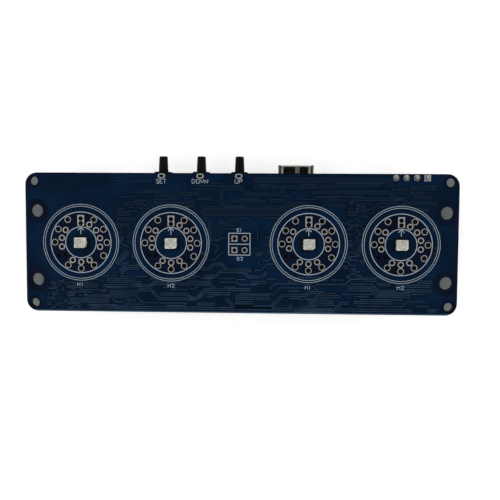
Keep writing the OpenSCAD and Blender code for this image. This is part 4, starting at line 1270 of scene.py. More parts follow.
@dataclass
class Face:
    """One face of the board: the copper under the mask, with its tracks and vias."""

    layout: Layout
    name: str
    low: float
    high: float
    track: float = 0.25
    gap: float = 0.17
    via: float = 0.30
    bend: float = 0.25
    dome: tuple[Level, ...] = ((-0.001, 0), (0.03, 0), (0.045, -0.05), (0.03, -0.17), (0.028, -0.24))
    standoff_room: float = 3.4
    separator_room: float = 1.5
    pin_room: Spot = (1.9, 1.7)

    def weaver(self, seed: int, room: float) -> Weaver:
        """A weaver that keeps clear of what goes through the board.

        Args:
            seed: What its random draws start from.
            room: How far it keeps from the tubes' bare rings.

        Returns:
            The weaver, before its first track.
        """
        made, lay = Weaver(seed), self.layout
        for x in lay.tubes:
            made.block((x, 0), lay.bare_ring[1] + room)
        for side in (-1, 1):
            for y in lay.standoff_ys:
                made.block((side * lay.standoff_x, y), self.standoff_room)
            for y in lay.separator_ys:
                made.block((side * lay.separator_x, y), self.separator_room)
        for x in (*lay.slot_xs, *lay.header_xs):
            made.block((x, lay.slot_y), *self.pin_room)
        return made

    def copper(self, tracks: Sequence[Outline], vias: Sequence[Spot], cleared: Sequence[Outline]) -> None:
        """Make the pour, the tracks in their channels and the covered vias.

        Args:
            tracks: The tracks' centre lines.
            vias: The vias' centres.
            cleared: Outlines that the pour keeps clear of.
        """
        lay = self.layout
        pour = Layer()
        pour.keep(rounded(lay.width - 0.7, lay.depth - 0.7, lay.corner - 0.35))
        for x in lay.tubes:
            pour.cut(circle(lay.bare_ring[1], 72, (x, 0)))
            pour.keep(circle(lay.bare_ring[0], 48, (x, 0)))
        pour.cut(*cleared)
        pour.cut(*(band(path, self.track + 2 * self.gap) for path in tracks))
        pour.cut(*(circle(self.via + self.gap, 14, at) for at in vias))
        shell = Shell()
        shell.slab(pour, self.low, self.high)
        enlist(shell.piece(f"{self.name}_pour", Finishes.POUR), "solder_mask")
        middle = (self.low + self.high) / 2
        lines = [[(x, y, middle) for x, y in path] for path in tracks]
        enlist(strips(f"{self.name}_tracks", lines, Finishes.TRACK, self.track, self.high - self.low,
                      self.track - 0.03, self.bend), "solder_mask")
        dots = Shell()
        up = self.high > lay.thick / 2
        for x, y in vias:
            dots.stack(circle(self.via, 14), self.dome, at_place(x, y, self.low) if up else hung(x, y))
        enlist(dots.piece(f"{self.name}_vias", Finishes.TENTED), "solder_mask")


@dataclass
class PrintedFace(Face):
    """The upper face: bundles of tracks between the tubes, and random tracks where there is room."""

    name: str = "upper"
    low: float = 1.6
    high: float = 1.635
    pitch: float = 0.5
    runs: tuple[tuple[float, float, str, int], ...] = (
        (3.2, 16.3, "E33.5 SE0.8 E0.5", 3), (3.2, 14.4, "E20 NE0.6 E11", 2), (17.8, 13.2, "E19 SE1.5 E2", 2),
        (18.5, 11.9, "E12", 1), (11.3, 13.4, "SW1.3 W8.5 NW1.3 W4.5 S3.2 SE0.8 E5", 2),
        (-9.5, 9.2, "E20.5 NE1.2 E5", 3), (-9.5, 7.6, "E20", 2), (-0.7, 6.4, "E3 SE2.2 S3.4", 1),
        (-1.2, 4.5, "W3 SW1.3", 1), (-9.8, 8.2, "SE2.6 S5.6", 2), (27, 10.2, "NE1.3 E13", 2),
        (27, 8.2, "E5", 1),
        (-31, 7.9, "E5.5", 1), (-31, 6.2, "E5", 2), (-33, 15.5, "E11", 1), (-21.5, 10.9, "E6", 1),
        (-31.5, -5, "NE3.2", 3), (-30.5, -7.3, "NE1.6 E3.6", 3), (-33.5, -9.0, "E6.5 SE0.8 E1.5", 3),
        (-9.7, -6.1, "E2 NE1.2 E2 SE1.5 E6", 2), (-9.0, -8, "E3 NE1.2 E6 SE1.3 E3 NE1.2", 2),
        (-34.5, -10.6, "E12 NE0.6 E14.5 SE1.3 E9", 2), (-33, -12.2, "E7 NE0.6 E3.2 SE2.2 E9 NE2.4 E4", 2),
        (-20, -12.6, "E7 SE1 E1.6 NE1.2 E7", 2), (-3.2, -13.6, "SE2 E9 NE3 E5.6 NE0.8 E4", 2),
        (-1, -14.6, "E4.5", 3), (12.5, -15, "SE1.4 E9.5 NE2 E2", 2), (7.5, -11.4, "NE1.4 E9 SE2.2 E4", 1),
        (-38, -16.1, "E81", 2), (27, -10.5, "E6 SE1.5 E8", 3))
    tangles: tuple[tuple[tuple[float, float, float, float], int, float], ...] = (
        ((-44, -16.7, 49, -8.2), 2600, 12.0), ((-49, -16.7, -28, -9.5), 900, 2.4),
        ((-31.4, -8, -25.8, 9), 250, 3.0), ((-30, 5, -10, 13.5), 500, 9.0),
        ((-14, 3.5, 12, 15.5), 800, 11.0), ((3.6, -9.5, 10, 4), 60, 3.0), ((-10, -9.5, -3.4, 4), 60, 3.0),
        ((10, 8.5, 49, 15.6), 1100, 10.0), ((25.8, -9, 31.4, 9.5), 600, 2.6), ((47.4, -7, 50, 8), 60, 2.0))

    def tracks(self) -> tuple[list[Outline], list[Spot]]:
        """The bundles first, then random tracks where there is room, with a via at both ends of every third random
        track.
        """
        weaver = self.weaver(7, 0.4)
        found, vias = [], []
        for x, y, route, count in self.runs:
            path = walk((x, y), route)
            for i in range(count):
                line = offset(path, i * self.pitch, False)
                weaver.mark(line)
                found.append(line)
        for box, tries, longest in self.tangles:
            paths = weaver.weave(box, tries, longest)
            found += paths
            vias += [end for path in paths[::3] for end in (path[0], path[-1])]
        return found, vias

    def build(self) -> None:
        """Make the copper."""
        tracks, vias = self.tracks()
        self.copper(tracks, vias, self.layout.clearances())
        dress(Finishes.LAMINATE, "circuit_board")
        LOG.info("%s face: %d tracks, %d vias", self.name, len(tracks), len(vias))


@dataclass
class Underface(Face):
    """The lower face: random tracks wherever there is room for them."""

    name: str = "lower"
    low: float = -0.035
    high: float = 0.0

    def build(self) -> None:
        """Make the copper."""
        tracks = self.weaver(23, 0.3).weave((-50, -16.4, 50, 16.4), 2600, 5.0)
        vias = [end for path in tracks[::2] for end in (path[0], path[-1])]
        self.copper(tracks, vias, self.layout.clearances())
        LOG.info("%s face: %d tracks, %d vias", self.name, len(tracks), len(vias))


@dataclass(frozen=True)
class Legend:
    """What is printed on the upper face: rings, arrows, boxes and short words."""

    layout: Layout
    height: float = 1.625
    thick: float = 0.05
    line: float = 0.20
    thin: float = 0.125
    rings: tuple[float, ...] = (3.9, 7.65, 9.08, 9.58)
    box: tuple[float, float, float, float, float] = (-2.70, -2.85, 2.62, 2.59, -0.13)
    arrow: tuple[float, float, float, float] = (2.1, 3.85, 0.7, 0.8)
    words: tuple[tuple[str, float, float, float, float], ...] = (
        ("SET", -20.80, 14.92, -18.45, 15.95), ("DOWN", -11.90, 14.92, -7.95, 15.95),
        ("UP", -1.20, 14.97, 0.62, 16.0),
        ("H1", -41.00, -11.05, -39.45, -10.2), ("H2", -17.97, -11.15, -16.38, -10.25),
        ("M1", 16.41, -11.27, 17.86, -10.3), ("M2", 39.24, -11.2, 40.87, -10.25),
        ("S1", -0.68, 2.98, 0.50, 3.78), ("S2", -0.65, -4.16, 0.80, -3.36))
    strokes: tuple[tuple[str, tuple[str, ...]], ...] = (
        ("S", ("45 36 16 05 04 13 33 42 41 30 10 01",)), ("E", ("46 06 00 40", "03 33")),
        ("T", ("06 46", "26 20")),
        ("D", ("00 06 26 44 42 20 00",)), ("O", ("10 01 05 16 36 45 41 30 10",)), ("W", ("06 10 24 30 46",)),
        ("N", ("00 06 40 46",)), ("U", ("06 01 10 30 41 46",)), ("P", ("00 06 36 45 44 33 03",)),
        ("H", ("00 06", "40 46", "03 43")), ("M", ("00 06 23 46 40",)), ("1", ("15 26 20",)),
        ("2", ("05 16 36 45 44 00 40",)))
    letter: tuple[float, float, float] = (4.0, 6.0, 1.6)

    def word(self, text: str, low_x: float, low_y: float, high_x: float, high_y: float) -> list[Outline]:
        """A word's strokes, fitted to a box."""
        shapes = dict(self.strokes)
        wide, tall, space = self.letter
        across = (high_x - low_x) / (len(text) * wide + (len(text) - 1) * space)
        up = (high_y - low_y) / tall
        found = []
        for i, letter in enumerate(text):
            left = low_x + i * (wide + space) * across
            found += [[(left + int(pair[0]) * across, low_y + int(pair[1]) * up) for pair in stroke.split()]
                      for stroke in shapes[letter]]
        return found

    def build(self) -> None:
        """Print the legend."""
        broad, fine = [], []
        start, tip, half, head = self.arrow
        for x in self.layout.tubes:
            for radius in self.rings:
                ring = circle(radius, 72, (x, 0))
                (broad if radius < self.rings[2] else fine).append([*ring, ring[0]])
            broad += [[(x, start), (x, tip)], [(x - half, tip - head), (x, tip), (x + half, tip - head)]]
        left, low, right, high, middle = self.box
        broad += [[(left, low), (right, low), (right, high), (left, high), (left, low)],
                  [(left, middle), (right, middle)]]
        for word in self.words:
            fine += self.word(*word)
        for name, paths, line in (("legend_lines", broad, self.line), ("legend_letters", fine, self.thin)):
            paths = [[(px, py, self.height) for px, py in path] for path in paths]
            enlist(strips(name, paths, Finishes.INK, line, self.thick, line * 0.86, 0.1), "solder_mask")
        LOG.info("legend: %d lines and %d fine strokes", len(broad), len(fine))


@dataclass(frozen=True)
class PlatedHoles:
    """Tinned rings, squares and slots on both faces, with their plated barrels."""

    layout: Layout
    anode: tuple[float, float, float] = (1.72, 2.66, 5.56)
    anode_holes: tuple[float, float] = (6.0, 4.8)
    anode_hole: float = 0.585
    separator: tuple[float, float] = (0.51, 0.745)
    header: tuple[float, float] = (0.5025, 0.8)
    slot: tuple[float, float] = (1.15, 0.65)
    slot_pad: tuple[float, float] = (1.87, 1.2)

    def plate(self, shell: Shell, outline: Outline, holes: Sequence[Outline], at: Spot) -> None:
        """A pad with holes on both faces."""
        pad = self.layout.pad
        for place in (at_place(*at, self.layout.thick), hung(*at)):
            flat = Layer()
            flat.keep(offset(outline, -0.05))
            for hole in holes:
                flat.cut(offset(hole, 0.03))
            shell.slab(flat, pad * 0.5, pad * 1.05, place)
            base = Layer()
            base.keep(outline)
            for hole in holes:
                base.cut(hole)
            shell.slab(base, -0.002, pad * 0.75, place)
        for hole in holes:
            high = self.layout.thick
            shell.stack(offset(hole, 0.05), [(0, 0), (high, 0), (high, -0.05), (0, -0.05)], at_place(*at),
                        closed=True)

    def rounds(self, name: str, places: Iterable[Spot], radii: Spot, *nodes: str) -> None:
        """Plate round holes.

        Args:
            name: The piece's name.
            places: The holes' centres.
            radii: The holes' radius and the pads'.
            nodes: The nodes that the piece stands for.
        """
        piece = tree_of(PlatedHoleGrowth).run(
            name, [(x, y, 0.0) for x, y in places], [], Finishes.TINNED, Hole_radius=radii[0],
            Rim=radii[1] - radii[0], Copper=self.layout.pad, Board=self.layout.thick)
        enlist(piece, "tinned_copper", replaces=nodes)

    def build(self) -> None:
        """Plate every hole."""
        lay = self.layout
        for ring, name in enumerate(("outer_tube_pads", "inner_tube_pads")):
            self.rounds(name, lay.ring_pads(ring), (lay.shown_holes[ring], lay.pad_radii[ring]),
                        "tube_pads_h1", "tube_pads_h2", "tube_pads_m1", "tube_pads_m2")
        self.rounds("round_separator_pads", [(lay.separator_x, y) for y in lay.separator_ys], self.separator,
                    "separator_pads")
        self.rounds("round_header_pads", [(x, lay.header_y) for x in lay.header_xs[:-1]], self.header,
                    "header_pads")
        squares = Shell()
        wide, long, middle = self.anode
        for x in lay.tubes:
            self.plate(squares, rounded(wide, long, 0.08, (0, middle), 3),
                       [circle(self.anode_hole, 24, (0, y)) for y in self.anode_holes], (x, 0))
        firsts = [(self.separator, (-lay.separator_x, y)) for y in lay.separator_ys]
        for (hole, pad), at in (*firsts, (self.header, (lay.header_xs[-1], lay.header_y))):
            self.plate(squares, rounded(2 * pad, 2 * pad, 0.08, (0, 0), 3), [circle(hole, 24)], at)
        enlist(squares.piece("square_pads", Finishes.TINNED), "tinned_copper")
        slots = Shell()
        for x in lay.slot_xs:
            self.plate(slots, oblong(*self.slot_pad), [oblong(*self.slot)], (x, lay.slot_y))
        enlist(slots.piece("slot_pads", Finishes.TINNED), "tinned_copper", replaces=("switch_slot_pads",))
        LOG.info("plated holes: 6 pieces")


@dataclass
class Lands:
    """Solder lands under the parts' feet, gathered as the parts are made."""

    thick: float = 0.05
    found: list[tuple[Matrix, float, float, float, float]] = field(default_factory=list)

    def add(self, place: Matrix, x: float, y: float, wide: float, long: float) -> None:
        """Add a land about a point of a part."""
        self.found.append((place, x, y, wide, long))

    def build(self) -> None:
        """Make the lands."""
        shell = Shell()
        for place, x, y, wide, long in self.found:
            shell.stack(rounded(wide, long, min(0.1, wide / 4), (x, y), 2),
                        [(-0.001, 0), (self.thick * 0.6, 0), (self.thick, -0.04)], place)
        enlist(shell.piece("solder_lands", Finishes.SOLDER), "tinned_leads")
        LOG.info("lands: %d", len(self.found))


# What is on the board


@dataclass(frozen=True)
class TubeLamps:
    """The lamp behind each tube: a pale body with a round cup of resin over its dice."""

    layout: Layout
    size: tuple[float, float, float] = (2.9, 2.62, 1.9)
    aside: float = 0.14
    cut: float = 0.45
    foot: float = 0.12
    cup: tuple[float, float] = (1.12, 0.9)
    draft: float = 0.05
    dice: tuple[Spot, ...] = ((-0.36, -0.34), (0.34, -0.36), (0.02, 0.42))
    lead: tuple[float, float, float] = (0.8, 0.9, 0.12)

    def outline(self) -> Outline:
        """The body's outline, with one corner cut off."""
        w, d = self.size[0] / 2, self.size[1] / 2
        return soften([(-w, -d), (w - self.cut, -d), (w, -d + self.cut), (w, d), (-w, d)], 0.12)

    def build(self) -> None:
        """Make the bodies, the resin, the dice on their frame and the leads."""
        bodies, resin, dice, frames = Shell(), Shell(), Shell(), Shell()
        top, (radius, deep) = self.size[2], self.cup
        floor, mid, leads = top - deep, self.size[2] * 0.52, []
        lead_w, climb, lead_t = self.lead
        for x in self.layout.tubes:
            place = at_place(x + self.aside, 0, self.layout.thick)
            bodies.collar(self.outline(), [(self.foot, -self.draft), (mid, 0), (top - 0.06, -self.draft),
                                           (top, -self.draft - 0.05)],
                          circle(radius, 48), [(top, 0.03), (top - 0.03, 0), (floor, -0.25)], place)
            resin.lathe([(radius - 0.27, floor + 0.14), (radius - 0.02, top - 0.05),
                         (radius - 0.14, top - 0.075), (radius * 0.5, top - 0.1), (0.05, top - 0.105)], place)
            for side in (-1, 1):
                half = [(side * 0.08, -0.86), (side * 0.45, -0.74), (side * 0.74, -0.45), (side * 0.87, 0),
                        (side * 0.74, 0.45), (side * 0.45, 0.74), (side * 0.08, 0.86)]
                frames.stack(half if side > 0 else half[::-1], [(floor - 0.02, 0), (floor + 0.03, 0),
                                                                (floor + 0.05, -0.02)], place)
                for y in (-1, 1):
                    edge = side * self.size[0] / 2
                    across = y * (self.size[1] / 2 - 0.2 - lead_w / 2)
                    outer = edge - self.aside + side * 0.1
                    path = [(edge - side * 0.4, across, lead_t / 2), (outer, across, lead_t / 2),
                            (outer + side * 0.03, across, climb)]
                    leads.append(moved(place, path))
            for spot in self.dice:
                dice.stack(rounded(0.3, 0.3, 0.03, spot, 2), [(floor + 0.03, 0), (floor + 0.13, 0),
                                                             (floor + 0.15, -0.02)], place)
        enlist(bodies.piece("lamp_bodies", Finishes.LAMP_WHITE), "lamp_white", replaces=("led_housings",))
        enlist(resin.piece("lamp_resins", Finishes.LAMP_RESIN), "lamp_resin", replaces=("led_lenses",))
        enlist(dice.piece("lamp_dice", Finishes.DICE), "lamp_resin")
        enlist(frames.piece("lamp_frames", Finishes.FRAME), "lamp_resin")
        # the leads take a painted shade finish
        enlist(strips("lamp_leads", leads, Finishes.PAINTED_SHADE_LEAD, lead_w, lead_t, None, 0.05), "tinned_leads",
               replaces=("led_leads",))
        LOG.info("tube lamps: 5 pieces")


@dataclass(frozen=True)
class Buttons:
    """Three press switches that lie along the rear edge, with their stems pointing out."""

    layout: Layout
    lands: Lands
    names: tuple[str, ...] = ("set", "down", "up")
    front: float = 17.85
    axis: float = -1.9
    width: float = 4.2
    stem: tuple[Level, ...] = (
        (0.05, -2.32), (0.44, -2.32), (0.5, -2.26), (0.5, -1.29), (1.46, -1.29), (1.52, -1.23), (1.52, -0.9),
        (1.46, -0.84), (1.22, -0.84), (1.22, 0.0), (1.058, 3.6), (1.045, 3.69), (1.01, 3.77), (0.95, 3.83),
        (0.87, 3.868), (0.7, 3.885), (0.4, 3.896), (0.05, 3.9))
    legs: tuple[float, float] = (0.9, 2.6)
    leg: tuple[float, float, float, float] = (0.6, 0.18, 1.4, 0.8)

    def build(self) -> None:
        """Make the stems, the housings, the carriers and the legs."""
        for name, x in zip(self.names, self.layout.slot_xs):
            shell = Shell()
            shell.lathe(self.stem, facing_rear(x, self.front, self.axis), 56)
            enlist(shell.piece(f"{name}_stem", Finishes.BUTTON), "button_black", f"{name}_button",
                   (f"{name}_button",))
        for part, finish, slot, edge in (("housing", Finishes.SWITCH, "switch_black", 0.1),
                                         ("carrier", Finishes.CARRIER, "carrier_brown", 0.12)):
            nodes = [f"{name}_switch_{part}" for name in self.names]
            enlist(eased_copy(f"switch_{part}s", nodes, finish, edge), slot, replaces=nodes)
        dress(Finishes.SPRING, *(f"{name}_switch_dome" for name in self.names))
        wide, thick, rise, reach = self.leg
        paths = []
        for x in self.layout.slot_xs:
            for side in (-1, 1):
                for back in self.legs:
                    place = hung(x + side * self.width / 2, self.front - back)
                    paths.append(moved(place, [(side * (thick / 2 - 0.01), 0, rise),
                                               (side * thick / 2, 0, thick / 2),
                                               (side * reach, 0, thick / 2)]))
                    self.lands.add(place, side * (reach / 2 + 0.15), 0, reach + 0.2, wide + 0.25)
        enlist(strips("switch_legs", paths, Finishes.LEAD, wide, thick, None, 0.12), "tinned_leads",
               replaces=[f"{name}_switch_terminals" for name in self.names])
        LOG.info("buttons: 6 pieces")


@dataclass(frozen=True)
class PowerSocket:
    """The power socket under the rear edge."""

    lands: Lands
    x: float = 13.9
    mouth: float = 19.6
    length: float = 7.35
    axis: float = -1.63
    tongue: float = 0.7
    contacts: int = 12
    pitch: float = 0.5
    contact: tuple[float, float, float] = (0.24, 0.05, 2.2)
    contact_start: float = 17.2
    window_end: float = 17.85

    def deepen(self, point: Vector) -> None:
        """Move the rear edge of the shell's two windows under the board."""
        if abs(point.y - self.window_end) < 0.02 and point.z > -1 and abs(point.x - self.x) < 3.2:
            point.y -= 0.6

    def build(self) -> None:
        """Make the shell, the moulding and the contacts."""
        enlist(eased_copy("socket_shell", ["usb_shell"], Finishes.SHELL, 0.07, shape=self.deepen),
               "socket_steel", replaces=("usb_shell",))
        enlist(eased_copy("socket_moulding", ["usb_insulator"], Finishes.SOCKET_BLACK, 0.06), "socket_black",
               replaces=("usb_insulator",))
        wide, thick, long = self.contact
        blades = []
        back = self.mouth - self.length
        for i in range(self.contacts):
            x = self.x + (i - (self.contacts - 1) / 2) * self.pitch
            start = self.contact_start
            for side in (-1, 1):
                z = self.axis + side * (self.tongue + thick) / 2
                blades.append([(x, start, z), (x, start - long, z)])
            blades.append([(x, back + 0.2, self.axis), (x, back - 0.13, self.axis), (x, back - 0.16, -thick),
                           (x, back - 0.7, -thick)])
            self.lands.add(hung(x, back - 0.55), 0, 0, wide + 0.06, 0.9)
        enlist(strips("socket_contacts", blades, Finishes.GOLD, wide, thick * 1.6, wide * 0.8, 0.12), "gold",
               replaces=("usb_contacts",))
        for side in (-1, 1):
            for y in (2.1 + 0.8 + 0.65, self.length - 1.3):
                self.lands.add(hung(self.x + side * 4.55, self.mouth - y), 0, 0, 1.1, 1.9)
        LOG.info("power socket: 3 pieces")


@dataclass(frozen=True)
class Header:
    """The pin header: a notched strip under the board, and soldered joints on top."""

    layout: Layout
    pin: float = 0.64
    drop: float = 8.5
    rise: float = 0.75
    point: float = 0.4
    joint: tuple[Level, ...] = (
        (0.77, 0.0), (0.765, 0.03), (0.68, 0.09), (0.59, 0.2), (0.52, 0.36), (0.47, 0.54), (0.43, 0.7),
        (0.37, 0.81), (0.27, 0.87), (0.15, 0.895), (0.04, 0.9))

    def build(self) -> None:
        """Make the strip, the pins and the joints."""
        pins, joints = Shell(), Shell()
        square = rounded(self.pin, self.pin, 0.17, steps=2)
        high = self.layout.thick + self.rise
        for x in self.layout.header_xs:
            levels = [(-self.drop, -0.15), (-self.drop + self.point, 0), (high - 0.25, 0), (high, -0.13)]
            pins.stack(square, levels, at_place(x, self.layout.header_y))
            on_pad = at_place(x, self.layout.header_y, self.layout.thick + self.layout.pad)
            joints.lathe(self.joint, on_pad, 32)
        joints.stack(rounded(1.5, 1.5, 0.3, steps=3), [(0.0, 0), (0.08, 0), (0.15, -0.12)], on_pad)
        enlist(pins.piece("pins", Finishes.GOLD), "gold", replaces=("header_pins",))
        enlist(joints.piece("pin_joints", Finishes.SOLDER, 50), "solder", replaces=("header_solder",))
        enlist(eased_copy("pin_strip", ["header_strip"], Finishes.HEADER_BLACK, 0.07), "header_black",
               replaces=("header_strip",))
        LOG.info("header: 3 pieces")


# What hangs under the board


@dataclass(frozen=True)
class Reservoirs:
    """Four drawn cans on moulded bases; the board rests on their flat ends."""

    lands: Lands
    places: tuple[Spot, ...] = ((-28.6, 12.6), (28.6, 12.6), (-41.0, -12.6), (41.0, -12.6))
    base: tuple[float, float, float, float] = (8.3, 1.6, 0.15, 1.3)
    can: tuple[Level, ...] = (
        (3.55, 9.9), (3.68, 9.8), (3.7, 0.62), (3.78, 0.56), (3.93, 0.56), (4.0, 0.63), (4.0, 2.55), (3.97, 2.66),
        (3.86, 2.74), (3.76, 2.84), (3.75, 2.95), (3.81, 3.06), (3.95, 3.14), (4.0, 3.26), (4.0, 9.7), (3.96, 9.89),
        (3.85, 10.05), (3.69, 10.16), (3.5, 10.2), (3.34, 10.2), (3.3, 10.17), (3.24, 10.17), (3.2, 10.2))
    tab: tuple[float, float, float, float] = (3.0, 0.8, 0.15, 0.2)

    def build(self) -> None:
        """Make the cans, the bases and the tabs."""
        cans, bases, tabs = Shell(), Shell(), []
        wide, cut, low, high = self.base
        b = wide / 2
        outline = soften([(-b, -b), (b - cut, -b), (b, -b + cut), (b, b - cut), (b - cut, b), (-b, b)], 0.25)
        long, tab_w, tab_t, out = self.tab
        for x, y in self.places:
            place = hung(x, y)
            cans.lathe(self.can, place, 72)
            bases.collar(outline, [(low, -0.06), (low + 0.08, 0), (high - 0.05, 0), (high, -0.05)],
                         circle(4.01, 72), [(high, 0.02), (high - 0.04, 0), (0.55, 0)], place)
            for side in (-1, 1):
                end = side * (b + out)
                tabs.append(moved(place, [(end, 0, tab_t / 2), (end - side * long, 0, tab_t / 2)]))
                self.lands.add(place, end - side * 1.2, 0, 3.4, 1.5)
        enlist(cans.piece("reservoir_cans", Finishes.CAN, 24), "can_aluminium", replaces=("capacitor_cans",))
        enlist(bases.piece("reservoir_bases", Finishes.BASE), "base_black", replaces=("capacitor_bases",))
        enlist(strips("reservoir_tabs", tabs, Finishes.LEAD, tab_w, tab_t, tab_w * 0.94), "tinned_leads",
               replaces=("capacitor_tabs",))
        dress(Finishes.RUBBER, "capacitor_bungs")
        dress(Finishes.FOIL, "capacitor_windings")
        LOG.info("reservoirs: 3 pieces")


@dataclass(frozen=True)
class CoinCell:
    """The coin cell and the sprung retainer that it slides out of."""

    lands: Lands
    at: Spot = (-28.6, -9.2)
    can: tuple[Level, ...] = (
        (5.25, 2.0), (5.25, 0.34), (5.32, 0.3), (5.9, 0.3), (6.1, 0.36), (6.22, 0.5), (6.25, 0.7), (6.25, 2.02),
        (6.2, 2.18), (6.08, 2.27), (5.9, 2.3), (5.6, 2.3), (5.56, 2.285), (5.5, 2.3))
    cap: tuple[Level, ...] = ((5.0, 1.9), (5.2, 1.88), (5.2, 0.42), (5.12, 0.34), (4.9, 0.31), (4.5, 0.3))

    def build(self) -> None:
        """Make the cell's two shells and the retainer."""
        place = hung(*self.at)
        can, cap = Shell(), Shell()
        can.lathe(self.can, place, 96)
        cap.lathe(self.cap, place, 96)
        enlist(can.piece("cell_can", Finishes.CELL, 24), "cell_steel", "coin_cell", ("coin_cell_can",))
        enlist(cap.piece("cell_cap", Finishes.CELL, 24), "cell_steel", "coin_cell", ("coin_cell_cap",))
        enlist(eased_copy("retainer", ["cell_retainer"], Finishes.SPRING, 0.08), "spring_steel",
               replaces=("cell_retainer",))
        for side in (-1, 1):
            self.lands.add(place, side * 7.4, 1.2, 2.0, 2.9)
        self.lands.add(place, 0, 0, 4.0, 4.0)
        LOG.info("coin cell: 3 pieces")


@dataclass(frozen=True)
class Converter:
    """The high-voltage converter: storage inductor, power transistor and diode."""

    lands: Lands
    inductor: Spot = (28.8, -12.2)
    transistor: Spot = (18.6, -12.2)
    diode: Spot = (34.65, -12.2)
    wire: float = 0.13
    winding: tuple[float, float, float] = (2.6, 1.01, 3.49)

    def build(self) -> None:
        """Make the inductor, the transistor and the diode."""
        ferrite = (Finishes.FERRITE, "ferrite")
        leads, body = (Finishes.LEAD, "tinned_leads"), (Finishes.EPOXY, "chip_black")
        for node, (finish, slot), edge in (
                ("inductor_shield", ferrite, 0.18), ("inductor_drum", ferrite, 0.1),
                ("inductor_terminals", leads, 0.03), ("mosfet_body", body, 0.14), ("mosfet_leads", leads, 0.05),
                ("diode_body", body, 0.12), ("diode_terminals", leads, 0.04)):
            enlist(eased_copy(f"{node}_eased", [node], finish, edge), slot, replaces=(node,))
        outer, low, high = self.winding
        coil = tree_of(WindingGrowth).run(
            "inductor_coil", [(*self.inductor, -high + self.wire)], [], Finishes.WIRE, 60,
            Radius=outer - self.wire, Height=high - low - 2 * self.wire, Wire_radius=self.wire)
        enlist(coil, "copper_wire", replaces=("inductor_winding",))
        for side in (-1, 1):
            self.lands.add(hung(*self.inductor), 0, side * 3.2, 2.7, 1.9)
            self.lands.add(hung(*self.diode), 0, side * 2.1, 1.7, 1.6)
            self.lands.add(hung(*self.transistor), 4.9, side * 2.28, 1.6, 1.3)
        self.lands.add(hung(*self.transistor), -1.2, 0, 6.3, 6.2)
        LOG.info("converter: 8 pieces")


@dataclass(frozen=True)
class Gull:
    """A lead that leaves a body, bends down and ends in a foot."""

    width: float
    reach: float
    rise: float
    foot: float
    thick: float

    def path(self) -> list[tuple[float, float, float]]:
        """Its centre line, outwards along X."""
        knee = self.reach - self.foot - self.thick / 2
        return [(-0.15, 0, self.rise - self.thick / 2), (knee, 0, self.rise - self.thick / 2),
                (knee + self.thick * 0.3, 0, self.thick / 2), (self.reach, 0, self.thick / 2)]


@dataclass(frozen=True)
class Chip:
    """One kind of chip: its body, its leads and where it stands."""

    name: str
    nodes: tuple[str, str]
    size: tuple[float, float, float]
    lead: Gull
    pitch: float
    a_side: int
    sides: tuple[int, ...]
    places: tuple[tuple[float, float, float], ...]
    lift: float = 0.1
    draft: float = 0.12
    mark: float = 0.4
    mark_in: float = 0.9

    def body(self, shell: Shell, place: Matrix) -> None:
        """Add one body with drafted sides and a round mark near its first lead."""
        long, wide, high = self.size
        waist = high * 0.52
        levels = [(self.lift, -self.draft), (waist - 0.06, 0), (waist + 0.06, 0), (high - 0.04, -self.draft),
                  (high, -self.draft - 0.04)]
        outline = rounded(long, wide, self.draft + 0.06, steps=2)
        spot = circle(self.mark, 24, (self.mark_in - long / 2, self.mark_in - wide / 2))
        shell.collar(outline, levels, spot, [(high, 0), (high - 0.08, -0.06)], place)

    def leads(self) -> list[list[Vector]]:
        """The centre lines of one chip's leads, about its middle."""
        long, wide, _ = self.size
        found = []
        for side in self.sides:
            half = wide / 2 if side % 180 == 90 else long / 2
            for i in range(self.a_side):
                across = (i - (self.a_side - 1) / 2) * self.pitch
                found.append(moved(spun(side, half, across), self.lead.path()))
        return found

    def build(self, lands: Lands) -> None:
        """Make the bodies and the leads of every chip of the kind."""
        shell, paths = Shell(), []
        for x, y, turn in self.places:
            place = hung(x, y, turn)
            self.body(shell, place)
            for lead in self.leads():
                paths.append(moved(place, lead))
                foot, across = lead[-1] - lead[0], abs(lead[-1].x - lead[0].x) > 0.1
                middle = lead[-1] - foot.normalized() * self.lead.foot / 2
                size = (self.lead.foot + 0.5, self.lead.width + 0.1)
                lands.add(place, middle.x, middle.y, *(size if across else size[::-1]))
        enlist(shell.piece(f"{self.name}_mouldings", Finishes.EPOXY), "chip_black", replaces=self.nodes[:1])
        enlist(strips(f"{self.name}_legs", paths, Finishes.LEAD, self.lead.width, self.lead.thick, None, 0.12),
               "tinned_leads", replaces=self.nodes[1:])
        LOG.info("%s: %d bodies, %d leads", self.name, len(self.places), len(paths))


